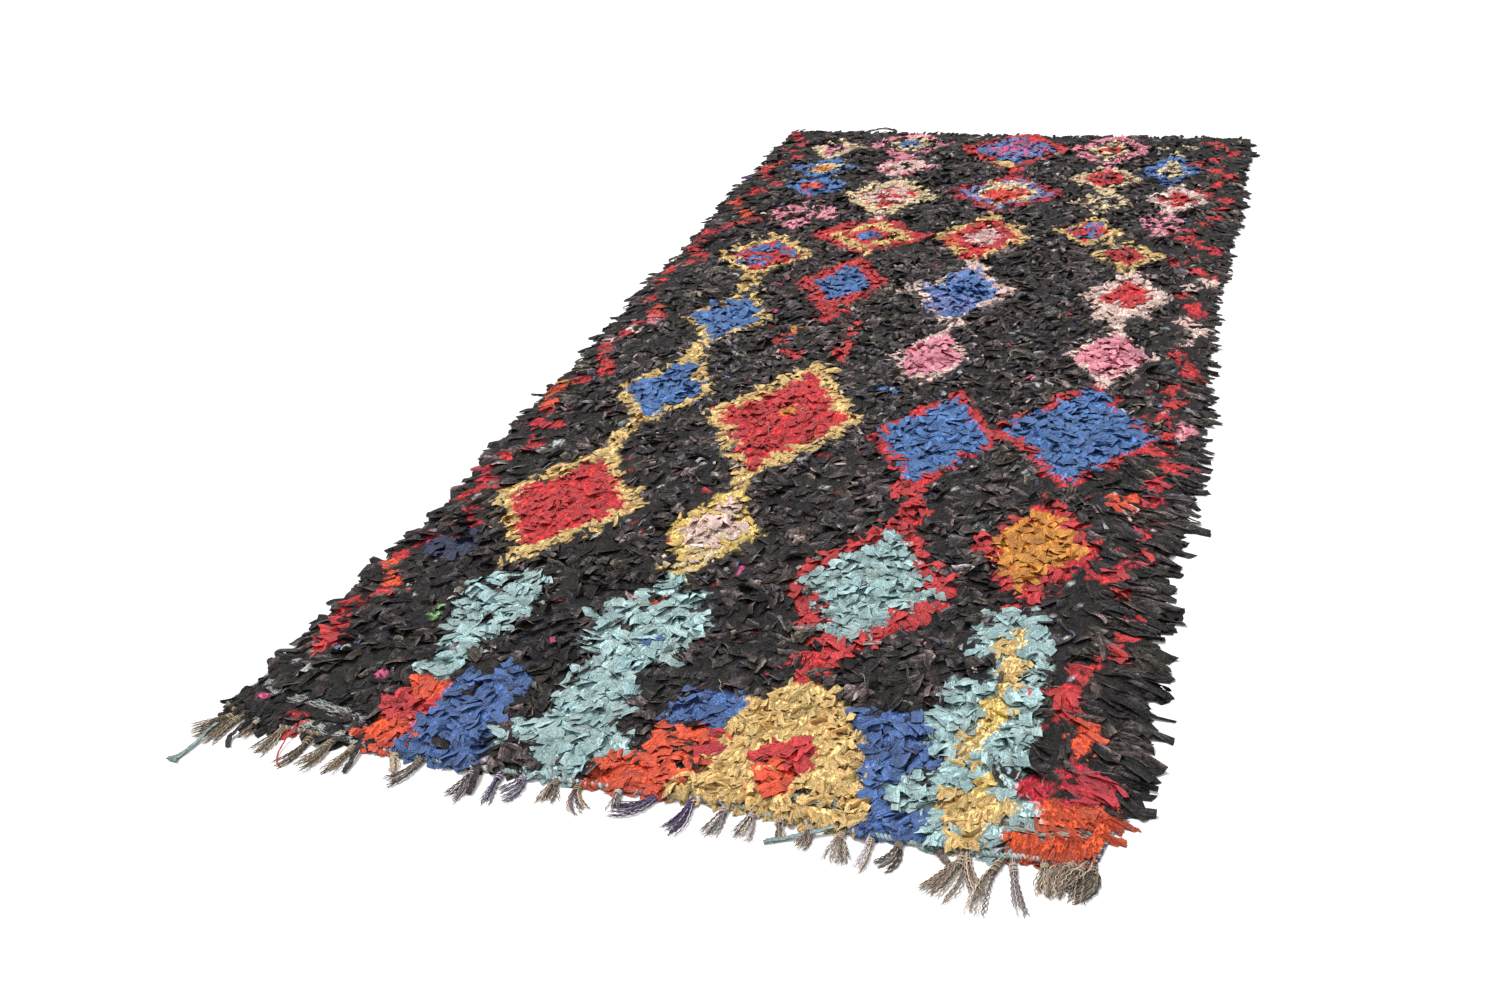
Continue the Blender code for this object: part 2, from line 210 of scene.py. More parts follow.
# Plain patches of colour, each a box with a colour: links between lozenges,
# tufts, and the stepped blocks along the front end.  Later rows lie on top.
PATCHES = (
    # x0     x1     y0     y1     colour     share
    (0.435, 0.475, 3.020, 3.080, "pink", 0.9),
    (0.452, 0.486, 2.845, 2.890, "pale", 0.9),
    (0.395, 0.485, 3.250, 3.318, "pink", 0.75),
    (0.770, 0.850, 3.240, 3.320, "red", 0.8),
    (0.755, 0.825, 2.985, 3.045, "sand", 0.75),
    (0.815, 0.850, 2.900, 2.990, "red", 0.9),
    (1.055, 1.130, 3.250, 3.322, "pink", 0.75),
    (1.082, 1.112, 2.960, 3.040, "pink", 0.8),
    (1.235, 1.265, 3.160, 3.200, "cream", 0.9),
    (1.310, 1.340, 3.180, 3.215, "cream", 0.9),
    (1.285, 1.310, 3.105, 3.145, "cream", 0.9),
    (1.290, 1.315, 3.050, 3.090, "blue", 0.9),
    (1.285, 1.310, 2.820, 2.850, "blue", 0.9),
    (0.225, 0.262, 2.830, 2.870, "blue", 0.85),
    (0.245, 0.270, 2.655, 2.690, "magenta", 0.8),
    (1.090, 1.120, 2.755, 2.790, "cream", 0.7),
    (0.640, 0.665, 3.255, 3.290, "pale", 0.8),
    (0.765, 0.905, 2.775, 2.840, "cream", 0.75),
    (0.490, 0.528, 2.500, 2.545, "pale", 0.85),
    (0.836, 0.866, 2.540, 2.575, "sand", 0.85),
    (0.812, 0.868, 2.215, 2.290, "red", 0.85),
    (0.700, 0.760, 2.370, 2.420, "cream", 0.55),
    (0.738, 0.790, 2.300, 2.370, "scarlet", 0.5),
    (0.525, 0.560, 2.195, 2.240, "sand", 0.8),
    (1.190, 1.212, 2.340, 2.385, "sand", 0.7),
    (1.235, 1.275, 2.150, 2.190, "sand", 0.7),
    (0.190, 0.222, 2.320, 2.350, "sand", 0.8),
    (0.262, 0.318, 1.905, 2.055, "sand", 0.72),
    (0.835, 0.885, 2.140, 2.190, "pale", 0.8),
    (0.700, 0.755, 1.960, 2.050, "pale", 0.55),
    (0.975, 1.010, 1.980, 2.015, "pale", 0.8),
    (1.215, 1.345, 1.860, 1.965, "pale", 0.62),
    (1.265, 1.300, 1.765, 1.850, "pale", 0.75),
    (0.800, 0.925, 1.850, 1.950, "violet", 0.55),
    (0.548, 0.600, 1.790, 1.870, "red", 0.85),
    (0.885, 0.912, 1.740, 1.800, "pale", 0.8),
    (0.500, 0.524, 1.690, 1.730, "orange", 0.95),
    (0.480, 0.506, 1.590, 1.690, "red", 0.7),
    (0.500, 0.562, 1.552, 1.590, "red", 0.65),
    (0.535, 0.590, 1.752, 1.792, "red", 0.7),
    (0.630, 0.662, 1.680, 1.780, "red", 0.6),
    (0.645, 0.676, 1.560, 1.655, "red", 0.7),
    (0.275, 0.330, 1.515, 1.605, "sand", 0.8),
    (1.258, 1.310, 1.488, 1.530, "pale", 0.8),
    (1.145, 1.170, 1.485, 1.510, "grey", 0.9),
    (0.790, 0.850, 1.402, 1.422, "blue", 0.8),
    (0.790, 0.815, 1.520, 1.535, "white", 0.5),
    (0.610, 0.642, 1.255, 1.300, "orange", 1.0),
    (0.272, 0.310, 1.030, 1.145, "sand", 0.72),
    (0.610, 0.640, 0.925, 0.962, "sand", 0.8),
    (0.940, 1.010, 0.930, 0.985, "red", 0.9),
    (0.975, 1.025, 0.845, 0.930, "red", 0.85),
    (1.235, 1.275, 0.568, 0.640, "red", 0.8),
    (0.255, 0.300, 0.545, 0.590, "sand", 0.8),
    (0.595, 0.650, 0.555, 0.600, "yellow", 0.85),
    (0.920, 1.000, 0.345, 0.400, "red", 0.85),
    (0.935, 0.990, 0.305, 0.345, "red", 0.9),
    (0.225, 0.250, 0.530, 0.545, "navy", 0.8),
    (0.085, 0.190, 0.555, 0.625, "navy", 0.8),
    (0.730, 0.745, 0.630, 0.680, "navy", 0.7),
    (0.725, 0.745, 0.605, 0.622, "magenta", 0.9),
    # the fill's lower end in the pale lozenge
    (0.585, 0.690, 0.600, 0.690, "cream", 0.45),
    # teal figure on the left
    (0.255, 0.400, 0.440, 0.500, "teal", 0.88),
    (0.280, 0.375, 0.500, 0.535, "teal", 0.8),
    (0.240, 0.400, 0.370, 0.440, "teal", 0.92),
    (0.265, 0.385, 0.320, 0.370, "teal", 0.9),
    (0.278, 0.352, 0.190, 0.320, "teal", 0.96),
    # teal figure right of it
    (0.600, 0.640, 0.530, 0.570, "teal", 0.9),
    (0.560, 0.700, 0.470, 0.530, "teal", 0.8),
    (0.605, 0.645, 0.480, 0.530, "scarlet", 0.6),
    (0.520, 0.735, 0.380, 0.470, "teal", 0.92),
    (0.530, 0.725, 0.310, 0.380, "teal", 0.94),
    (0.560, 0.675, 0.210, 0.310, "teal", 0.96),
    (0.560, 0.690, 0.110, 0.210, "teal", 0.97),
    (0.505, 0.725, 0.050, 0.110, "teal", 0.95),
    (0.585, 0.680, -0.02, 0.050, "teal", 0.92),
    # blocks at the left of the front end
    (0.275, 0.362, 0.125, 0.190, "scarlet", 0.95),
    (0.262, 0.365, 0.070, 0.125, "red", 0.97),
    (0.275, 0.352, -0.02, 0.070, "scarlet", 0.97),
    (0.418, 0.485, 0.190, 0.250, "cobalt", 0.97),
    (0.366, 0.488, 0.072, 0.200, "cobalt", 0.97),
    (0.352, 0.492, -0.03, 0.072, "cobalt", 0.97),
    (0.284, 0.318, -0.03, 0.012, "cobalt", 0.95),
    # stepped pyramid and the blocks beside it
    (0.762, 0.905, 0.150, 0.252, "cobalt", 0.97),
    (0.762, 0.905, 0.056, 0.158, "scarlet", 0.80),
    (0.840, 0.905, 0.090, 0.158, "crimson", 0.75),
    (0.695, 0.835, -0.03, 0.056, "scarlet", 0.95),
    (1.060, 1.215, 0.120, 0.252, "cobalt", 0.97),
    (1.092, 1.180, 0.040, 0.125, "cobalt", 0.97),
    (1.135, 1.230, -0.03, 0.034, "cobalt", 0.97),
    (0.918, 1.022, 0.250, 0.302, "sand", 1.0),
    (0.876, 1.062, 0.190, 0.255, "sand", 1.0),
    (0.866, 1.092, 0.110, 0.195, "sand", 1.0),
    (0.866, 1.122, 0.036, 0.115, "sand", 1.0),
    (0.828, 1.142, -0.03, 0.036, "sand", 1.0),
    (0.940, 1.022, 0.085, 0.146, "red", 1.0),
    (0.948, 1.022, 0.028, 0.088, "scarlet", 1.0),
    # teal column with a yellow zigzag
    (1.232, 1.300, 0.520, 0.572, "teal", 0.95),
    (1.205, 1.335, 0.420, 0.530, "teal", 0.96),
    (1.250, 1.345, 0.355, 0.430, "teal", 0.92),
    (1.190, 1.350, 0.200, 0.360, "teal", 0.96),
    (1.212, 1.345, 0.085, 0.210, "teal", 0.96),
    (1.165, 1.245, 0.034, 0.110, "teal", 0.96),
    (1.300, 1.405, -0.01, 0.100, "teal", 0.94),
    (1.225, 1.270, -0.03, 0.030, "teal", 0.9),
    (1.250, 1.290, 0.440, 0.530, "sand", 0.95),
    (1.262, 1.306, 0.330, 0.440, "sand", 0.95),
    (1.256, 1.296, 0.240, 0.330, "yellow", 0.95),
    (1.238, 1.280, 0.150, 0.240, "sand", 0.95),
    (1.278, 1.312, 0.090, 0.140, "yellow", 0.95),
    (1.236, 1.345, 0.035, 0.095, "sand", 1.0),
    (1.262, 1.312, -0.03, 0.035, "sand", 1.0),
    # right front corner
    (1.342, 1.392, 0.098, 0.145, "crimson", 0.95),
    (1.410, 1.492, 0.096, 0.190, "crimson", 0.95),
    (1.392, 1.560, 0.040, 0.104, "rust", 0.97),
    (1.342, 1.530, -0.06, 0.040, "rust", 0.97),
    (1.365, 1.412, 0.290, 0.345, "red", 0.95),
    (1.345, 1.400, 0.345, 0.378, "red", 0.9),
    (1.408, 1.442, 0.215, 0.312, "scarlet", 0.9),
    (1.372, 1.420, 0.405, 0.450, "red", 0.9),
    # odd ends
    (0.205, 0.232, 0.352, 0.380, "green", 1.0),
    (0.205, 0.228, 0.162, 0.184, "magenta", 0.9),
    (0.110, 0.164, -0.020, 0.036, "red", 0.85),
    (1.338, 1.352, 0.330, 0.342, "blue", 1.0),
    (0.650, 0.690, 0.350, 0.372, "cobalt", 0.6),
    (1.380, 1.412, 0.960, 1.030, "scarlet", 0.8),
    (1.395, 1.425, 0.912, 0.960, "pale", 0.7),
    (1.462, 1.500, 1.268, 1.318, "pink", 0.7),
    (0.028, 0.060, 1.330, 1.355, "orange", 0.7),
    (0.050, 0.085, 1.330, 1.352, "scarlet", 0.7),
    (0.110, 0.140, 1.700, 1.735, "pink", 0.8),
    (0.075, 0.100, 1.630, 1.680, "pale", 0.8),
    (0.040, 0.070, 1.570, 1.605, "pale", 0.8),
)

# The zigzags of the side borders: turning points, and the tufts' colour.
LEFT_ZIGZAG = (
    # x     y      colour
    (0.012, 3.300, "red"), (0.080, 3.170, "red"), (0.022, 3.130, "red"),
    (0.118, 3.025, "red"), (0.035, 2.960, "scarlet"), (0.022, 2.905, "red"),
    (0.120, 2.770, "red"), (0.065, 2.700, "red"), (0.022, 2.630, "scarlet"),
    (0.140, 2.455, "red"), (0.085, 2.395, "crimson"), (0.030, 2.335, "red"),
    (0.042, 2.215, "red"), (0.105, 2.145, "red"), (0.025, 2.060, "red"),
    (0.032, 1.960, "red"), (0.070, 1.840, "scarlet"), (0.115, 1.745, "crimson"),
    (0.050, 1.540, "red"), (0.122, 1.410, "red"), (0.060, 1.330, "scarlet"),
    (0.028, 1.290, "scarlet"), (0.060, 1.205, "red"), (0.120, 1.120, "red"),
    (0.060, 1.140, "crimson"), (0.112, 1.030, "red"), (0.052, 0.915, "crimson"),
    (0.085, 0.840, "red"), (0.062, 0.790, "red"), (0.140, 0.670, "crimson"),
    (0.062, 0.600, "red"), (0.034, 0.520, "scarlet"), (0.112, 0.425, "red"),
    (0.036, 0.372, "red"), (0.036, 0.310, "red"), (0.078, 0.262, "red"),
    (0.030, 0.240, "red"), (0.095, 0.205, "crimson"),
)
RIGHT_ZIGZAG = (
    (1.420, 3.270, "crimson"), (1.378, 3.240, "red"), (1.472, 3.145, "red"),
    (1.362, 3.035, "red"), (1.422, 2.975, "red"), (1.475, 2.905, "red"),
    (1.362, 2.795, "red"), (1.470, 2.715, "red"), (1.462, 2.620, "red"),
    (1.380, 2.420, "red"), (1.468, 2.325, "crimson"), (1.372, 2.250, "red"),
    (1.430, 2.195, "red"), (1.482, 2.120, "pale"), (1.412, 2.050, "red"),
    (1.424, 1.985, "red"), (1.466, 1.930, "crimson"), (1.432, 1.870, "pale"),
    (1.476, 1.810, "pale"), (1.424, 1.710, "red"), (1.446, 1.640, "red"),
    (1.482, 1.560, "red"), (1.436, 1.490, "red"), (1.448, 1.430, "red"),
    (1.432, 1.370, "crimson"), (1.470, 1.290, "red"), (1.420, 1.215, "red"),
    (1.476, 1.150, "red"), (1.440, 1.085, "crimson"), (1.452, 0.880, "red"),
    (1.452, 0.860, "red"), (1.452, 0.780, "crimson"), (1.398, 0.725, "red"),
    (1.466, 0.600, "red"), (1.448, 0.500, "red"), (1.392, 0.425, "red"),
)

# Bare lines, where the ground weave and its thick wefts show between the rows.
BARE = (
    ((0.025, 0.120), (0.060, 0.100), (0.110, 0.088), (0.200, 0.075), (0.262, 0.052)),
    ((0.160, 0.030), (0.205, 0.021), (0.255, 0.014)),
    ((1.030, 0.036), (1.080, 0.038), (1.110, 0.034)),
    ((1.350, 0.046), (1.400, 0.040), (1.455, 0.047)),
)

rng = np.random.default_rng(41207)


def pattern(x, y, knot, n_knots):
    """The colour code at x, y (plan) and how far to the side a strip there
    leans. Chance goes by knot, so that both ends of a knot share it."""
    def chance():
        return rng.random(n_knots)[knot]

    code = np.full(x.shape, CODE["dark"])
    tint = chance()
    code[tint < 0.34] = CODE["soot"]
    code[tint > 0.86] = CODE["olive_black"]
    field = np.ones(x.shape, bool)
    lean = np.zeros(x.shape)
    blur = np.where((y > 1.45) | (y < 0.34) | ((y < 0.60) & (x > 1.15)), 0.62, 0.9)
    px = x + blur * rng.normal(0, 0.0062, n_knots)[knot] + rng.normal(0, 0.0015, x.shape)
    py = y + blur * rng.normal(0, 0.0066, n_knots)[knot] + rng.normal(0, 0.0015, x.shape)
    px = px + 0.0045 * np.sin(71 * y + 3 * np.sin(23 * x)) + 0.0035 * np.sin(131 * y + 19 * x)
    py = py + 0.0055 * np.sin(63 * x + 2 * np.sin(31 * y)) + 0.0040 * np.sin(117 * x - 29 * y)
    for table in (LEFT_ZIGZAG, RIGHT_ZIGZAG):
        for (x0, y0, name), (x1, y1, _) in zip(table, table[1:]):
            length = math.hypot(x1 - x0, y1 - y0)
            if length > 0.24:
                continue
            t = np.clip(((px - x0) * (x1 - x0) + (py - y0) * (y1 - y0)) / max(length, 1e-6) ** 2, 0, 1)
            far = np.hypot(px - x0 - t * (x1 - x0), py - y0 - t * (y1 - y0))
            tuft = np.sin(2 * math.pi * (t * length + 0.031 * y0 * 31) / 0.062 + 9 * x0)
            hit = (far < 0.0110 + 0.0100 * tuft) & (chance() < 0.84)
            code[hit] = CODE[name]
            field[hit] = False
    for cx, cy, hw, hh, rings, fill, second, share in LOZENGES:
        d = np.abs(px - cx) / hw + np.abs(py - cy) / hh
        depth = (1.0 - d) * hw * hh / math.hypot(hw, hh)
        within = depth > -0.005
        mixed = chance() < share
        drop = chance() < 0.03
        if not within.any():
            continue
        lean[within] = 0.55 * np.clip((px[within] - cx) / hw, -1, 1)
        start, left = -0.005, within.copy()
        gone = drop | ((chance() < 0.13) & (cy < 1.0) & (fill in ("teal", "mustard")))
        for name, wide in rings:
            wide = wide * (1.08 + 0.34 * np.sin(97 * px + 53 * py) * np.sin(61 * py - 79 * px) * (cy < 1.5))
            band = left & (depth < start + wide + 0.0015)
            code[band & ~gone] = CODE[name]
            field[band & ~gone] = False
            left &= ~band
            start = start + wide
        code[left & ~mixed] = CODE[fill]
        code[left & mixed] = CODE[second]
        field[left] = False
    for x0, x1, y0, y1, name, share in PATCHES:
        hit = (px > x0) & (px < x1) & (py > y0) & (py < y1) & (chance() < share)
        code[hit] = CODE[name]
        field[hit] = False
        lean[hit] = 0.45 * (px[hit] - 0.5 * (x0 + x1)) / (0.5 * (x1 - x0))
    # the odd knot of another rag in the dark field
    odd = field & (chance() < 0.004)
    picks = np.array([CODE[n] for n in ("navy", "crimson", "purple", "navy", "magenta", "grey", "navy")])
    code[odd] = picks[(rng.random(n_knots)[knot][odd] * len(picks)).astype(int)]
    return code, lean


# ------------------------------------------------------------------ rag strips
# How the rags are cut and lie: strips a knot, width and length (low, high), how
# steeply they fold along the middle (height over half the width; low, high),
# pleats (metres), crumple (metres), and how much they tip to a side (radians).
CUTS = {
    #         strips  width            length          fold         pleat   crumple  tip
    "field": (2, (0.016, 0.026), (0.040, 0.058), (-0.60, 0.85), 0.0022, 0.0005, 0.46),
    "front": (2, (0.020, 0.031), (0.040, 0.056), (-0.60, 0.90), 0.0024, 0.0004, 0.46),
    "wide":  (3, (0.019, 0.031), (0.034, 0.050), (-0.50, 0.75), 0.0018, 0.0004, 0.36),
    "soft":  (3, (0.017, 0.028), (0.034, 0.050), (-0.60, 0.95), 0.0020, 0.0006, 0.38),
    "tube":  (4, (0.016, 0.022), (0.032, 0.044), (0.80, 1.60), 0.0008, 0.0004, 0.32),
    "straw": (3, (0.014, 0.023), (0.034, 0.050), (0.30, 1.30), 0.0010, 0.0004, 0.36),
    "fine":  (3, (0.014, 0.023), (0.038, 0.056), (-0.70, 1.30), 0.0018, 0.0005, 0.54),
    "red":   (3, (0.013, 0.021), (0.034, 0.050), (-0.20, 1.30), 0.0012, 0.0005, 0.36),
}
CUT_NAMES = list(CUTS)
FAMILIES = {
    "pile_red": ("red", "crimson", "scarlet", "rust", "orange", "mustard"),
    "pile_blue": ("blue", "violet", "cobalt", "navy"),
    "pile_teal": ("teal", "aqua", "green", "steel"),
    "pile_yellow": ("sand", "yellow", "cream"),
    "pile_pink": ("pale", "pink", "magenta", "white", "purple", "grey", "lilac"),
}
DARKS = [CODE[n] for n in ("dark", "soot", "olive_black")]

GRIDS = ((4, 6), (5, 7), (3, 6))    # points across and along a strip
ROW_PITCH, KNOT_PITCH = 0.0332, 0.0205
CELL = 0.004                        # cell of the height map the strips lie on
MAP_X0, MAP_Y0 = -0.10, -0.20
height_map = np.full((int(3.75 / CELL), int(1.75 / CELL)), 0.0)
smooth_map = height_map.copy()


def cut_of(code, x, y):
    """Which row of CUTS a knot's rag follows."""
    pick = np.full(code.shape, CUT_NAMES.index("field"))
    pick[np.isin(code, DARKS) & (y < 0.85)] = CUT_NAMES.index("front")
    pick[np.isin(code, DARKS) & (y > 1.10)] = CUT_NAMES.index("fine")
    for name in ("blue", "violet", "cobalt", "navy"):
        pick[code == CODE[name]] = CUT_NAMES.index("soft")
    for name in ("teal", "aqua", "green", "mustard"):
        pick[code == CODE[name]] = CUT_NAMES.index("wide")
    for name in ("red", "crimson", "pink", "magenta", "orange", "scarlet", "rust"):
        pick[code == CODE[name]] = CUT_NAMES.index("red")
    for name in ("sand", "yellow", "cream", "pale"):
        pick[code == CODE[name]] = CUT_NAMES.index("straw")
    pick[(code == CODE["pale"]) & (y < 1.1)] = CUT_NAMES.index("soft")
    pick[(code == CODE["pink"]) & (y < 2.2)] = CUT_NAMES.index("soft")
    front = y < 0.34
    for name in ("red", "crimson"):
        pick[(code == CODE[name]) & front] = CUT_NAMES.index("soft")
    for name in ("red", "crimson", "scarlet"):
        pick[(code == CODE[name]) & (y < 1.0) & (x > 0.75)] = CUT_NAMES.index("soft")
    for name in ("sand", "yellow"):
        pick[(code == CODE[name]) & front] = CUT_NAMES.index("tube")
    pick[code == CODE["rust"]] = CUT_NAMES.index("tube")
    return pick


def knots():
    """Plan place and row of every knot, in rows across the rug."""
    rows = int(round(3.30 / ROW_PITCH))
    n = int(1.47 / KNOT_PITCH)
    xs, ys = [], []
    for j in [-0.42, *range(rows)]:
        t = (j + 0.5) / rows
        u = (np.arange(n) + 0.5 + rng.uniform(-0.2, 0.2, n)) / n
        x = 1.5 * u
        for _ in range(2):
            y = along(FRONT_EDGE, x) + t * (along(BACK_EDGE, x) - along(FRONT_EDGE, x))
            lo, hi = along(LEFT_EDGE, y) + 0.006, along(RIGHT_EDGE, y) - 0.006
            x = lo + u * (hi - lo)
        xs.append(x)
        ys.append(y + 0.004 + rng.normal(0, 0.0020, n))
    return np.array(xs), np.array(ys)


def near_bare(x, y):
    """How far behind the next bare line a point is, or a large number."""
    best = np.full(x.shape, 9.0)
    for line in BARE:
        px = np.array([p[0] for p in line])
        py = np.array([p[1] for p in line])
        ahead = y - np.interp(x, px, py)
        hit = (x > px[0] - 0.006) & (x < px[-1] + 0.006) & (ahead > -0.010) & (ahead < 0.06)
        best[hit] = np.minimum(best[hit], ahead[hit])
    return best


def cells_of(x, y):
    i = np.clip(((y - MAP_Y0) / CELL).astype(int), 0, height_map.shape[0] - 1)
    j = np.clip(((x - MAP_X0) / CELL).astype(int), 0, height_map.shape[1] - 1)
    return i, j


def calm(y_low, y_high):
    """Refreshes the smoothed map between two plan heights: local peaks, blurred."""
    i0 = max(int((y_low - MAP_Y0) / CELL), 2)
    i1 = min(int((y_high - MAP_Y0) / CELL), height_map.shape[0] - 2)
    part = np.pad(height_map[i0 - 2:i1 + 2], ((2, 2), (4, 4)), mode="edge")
    peak = np.maximum(np.maximum(part[:, :-2], part[:, 1:-1]), part[:, 2:])
    peak = np.maximum(np.maximum(peak[:-2], peak[1:-1]), peak[2:])
    soft = sum(peak[:, k:peak.shape[1] - 4 + k] for k in range(5)) / 5
    soft = sum(soft[k:soft.shape[0] - 4 + k] for k in range(5)) / 5
    m, w = i1 - i0, height_map.shape[1]
    r0, c0 = (soft.shape[0] - m) // 2, (soft.shape[1] - w) // 2
    smooth_map[i0:i1] = np.maximum(soft[r0:r0 + m, c0:c0 + w], height_map[i0:i1] - 0.0015)


def sample_map(x, y):
    return smooth_map[cells_of(x, y)]


def raise_map(x, y, z):
    i, j = cells_of(x, y)
    np.maximum.at(height_map, (i.ravel(), j.ravel()), z.ravel())


def lay(b, nu, nv):
    """Lays one batch of strips on the height map. Returns points (n, nv, nu, 3)."""
    n = len(b["x"])
    s = np.linspace(0, 1, nv)[None, :]
    u = np.linspace(-1, 1, nu)[None, None, :]
    kink_at = rng.uniform(0.35, 0.8, n)[:, None]
    kink = b["kink"][:, None] * ease((s - kink_at + 0.1) / 0.2)
    way = b["heading"][:, None] + b["bend"][:, None] * (s - 0.25) + kink
    step = b["length"][:, None] / (nv - 1)
    cx = b["x"][:, None] + np.concatenate([np.zeros((n, 1)), np.cumsum(step * np.cos(way[:, 1:]), 1)], 1)
    cy = b["y"][:, None] + np.concatenate([np.zeros((n, 1)), np.cumsum(step * np.sin(way[:, 1:]), 1)], 1)
    sx, sy = -np.sin(way), np.cos(way)
    w = b["width"][:, None] * (0.46 + 0.54 * ease(s / 0.36)) * (1 - 0.12 * s)
    half = 0.5 * w[..., None]
    angle = b["tip"][:, None] * (0.4 + 0.6 * s) + b["twist"][:, None] * s * s
    # the profile across: folded along the middle, with sharp pleats that start
    # at the knot and open towards the cut end
    zig = np.where(np.arange(nu) % 2 == 0, -0.5, 0.5)[None, None, :] * np.sign(rng.normal(0, 1, n))[:, None, None]
    pleat = b["pleat"][:, None, None] * rng.uniform(0.3, 1.5, n)[:, None, None] * (1.3 - 0.95 * s[..., None])
    fold = b["fold"][:, None, None] * (1.15 - 0.35 * s[..., None])
    off = rng.uniform(-0.35, 0.35, n)[:, None, None]
    relief = half * fold * (0.5 - np.abs(u - off)) + pleat * zig
    across = half * u / np.sqrt(1 + fold * fold)
    relief = relief + rng.normal(0, 1, (n, nv, nu)) * b["crumple"][:, None, None]
    # a crease aslant over the strip, where it was folded
    place = rng.uniform(0.30, 0.85, n)[:, None, None]
    turn = rng.uniform(-0.30, 0.30, n)[:, None, None]
    relief = relief - np.abs(s[..., None] - place - turn * u) * rng.uniform(-0.003, 0.016, n)[:, None, None]
    reach = (b["slant"][:, None, None] * u - b["point"][:, None, None] * np.abs(u)) * half * s[..., None] ** 3
    slip = rng.normal(0, 1, (n, nv, nu)) * 0.0003 * s[..., None]
    side = across * np.cos(angle)[..., None] - relief * np.sin(angle)[..., None]
    height = across * np.sin(angle)[..., None] + relief * np.cos(angle)[..., None]
    px = cx[..., None] + side * sx[..., None] + (reach + slip) * np.cos(way)[..., None]
    py = cy[..., None] + side * sy[..., None] + (reach + slip) * np.sin(way)[..., None]
    ground = sample_map(px, py)
    ground[:, 1:-1] = 0.25 * ground[:, :-2] + 0.5 * ground[:, 1:-1] + 0.25 * ground[:, 2:]
    level = 0.55 * ground.max(2) + 0.45 * ground.mean(2)
    level[:, 0] = np.minimum(level[:, 0], 0.013)
    level[:, 1] = 0.5 * (level[:, 1] + level[:, 0])
    for i in range(2, nv):
        level[:, i] = np.maximum(level[:, i], level[:, i - 1] - (0.45 + 0.45 * i / nv) * step[:, 0])
    stand = 0.0004 + 0.30 * np.abs(np.sin(angle)) * half[..., 0] + b["lift"][:, None] * np.sin(2.6 * s)
    rigid = level[..., None] + stand[..., None] + height
    pz = np.maximum(rigid, ground - 0.0016)
    edge = np.minimum.reduce([cx - along(LEFT_EDGE, cy), along(RIGHT_EDGE, cy) - cx, along(BACK_EDGE, cx) - cy])
    front = cy - along(FRONT_EDGE, cx)
    most = 0.012 + 0.022 * ease(edge / 0.040) + 0.004 * np.clip(edge / 0.2, 0, 1)
    most = np.minimum(most, 0.016 + 0.022 * ease((front + 0.012) / 0.030))[..., None]
    pz = np.where(pz > most, most + 0.006 * np.tanh((pz - most) / 0.008), pz)
    pz = np.maximum(pz, 0.0012)
    top = np.minimum(level[..., None] + 0.45 * (pz - level[..., None]), most - 0.003)
    raise_map(px[:, 1:], py[:, 1:], top[:, 1:])
    mx, my, mt = (0.5 * (a[:, 1:-1, :-1] + a[:, 2:, 1:]) for a in (px, py, top))
    raise_map(mx, my, mt)
    return np.stack([px, py, pz], -1)


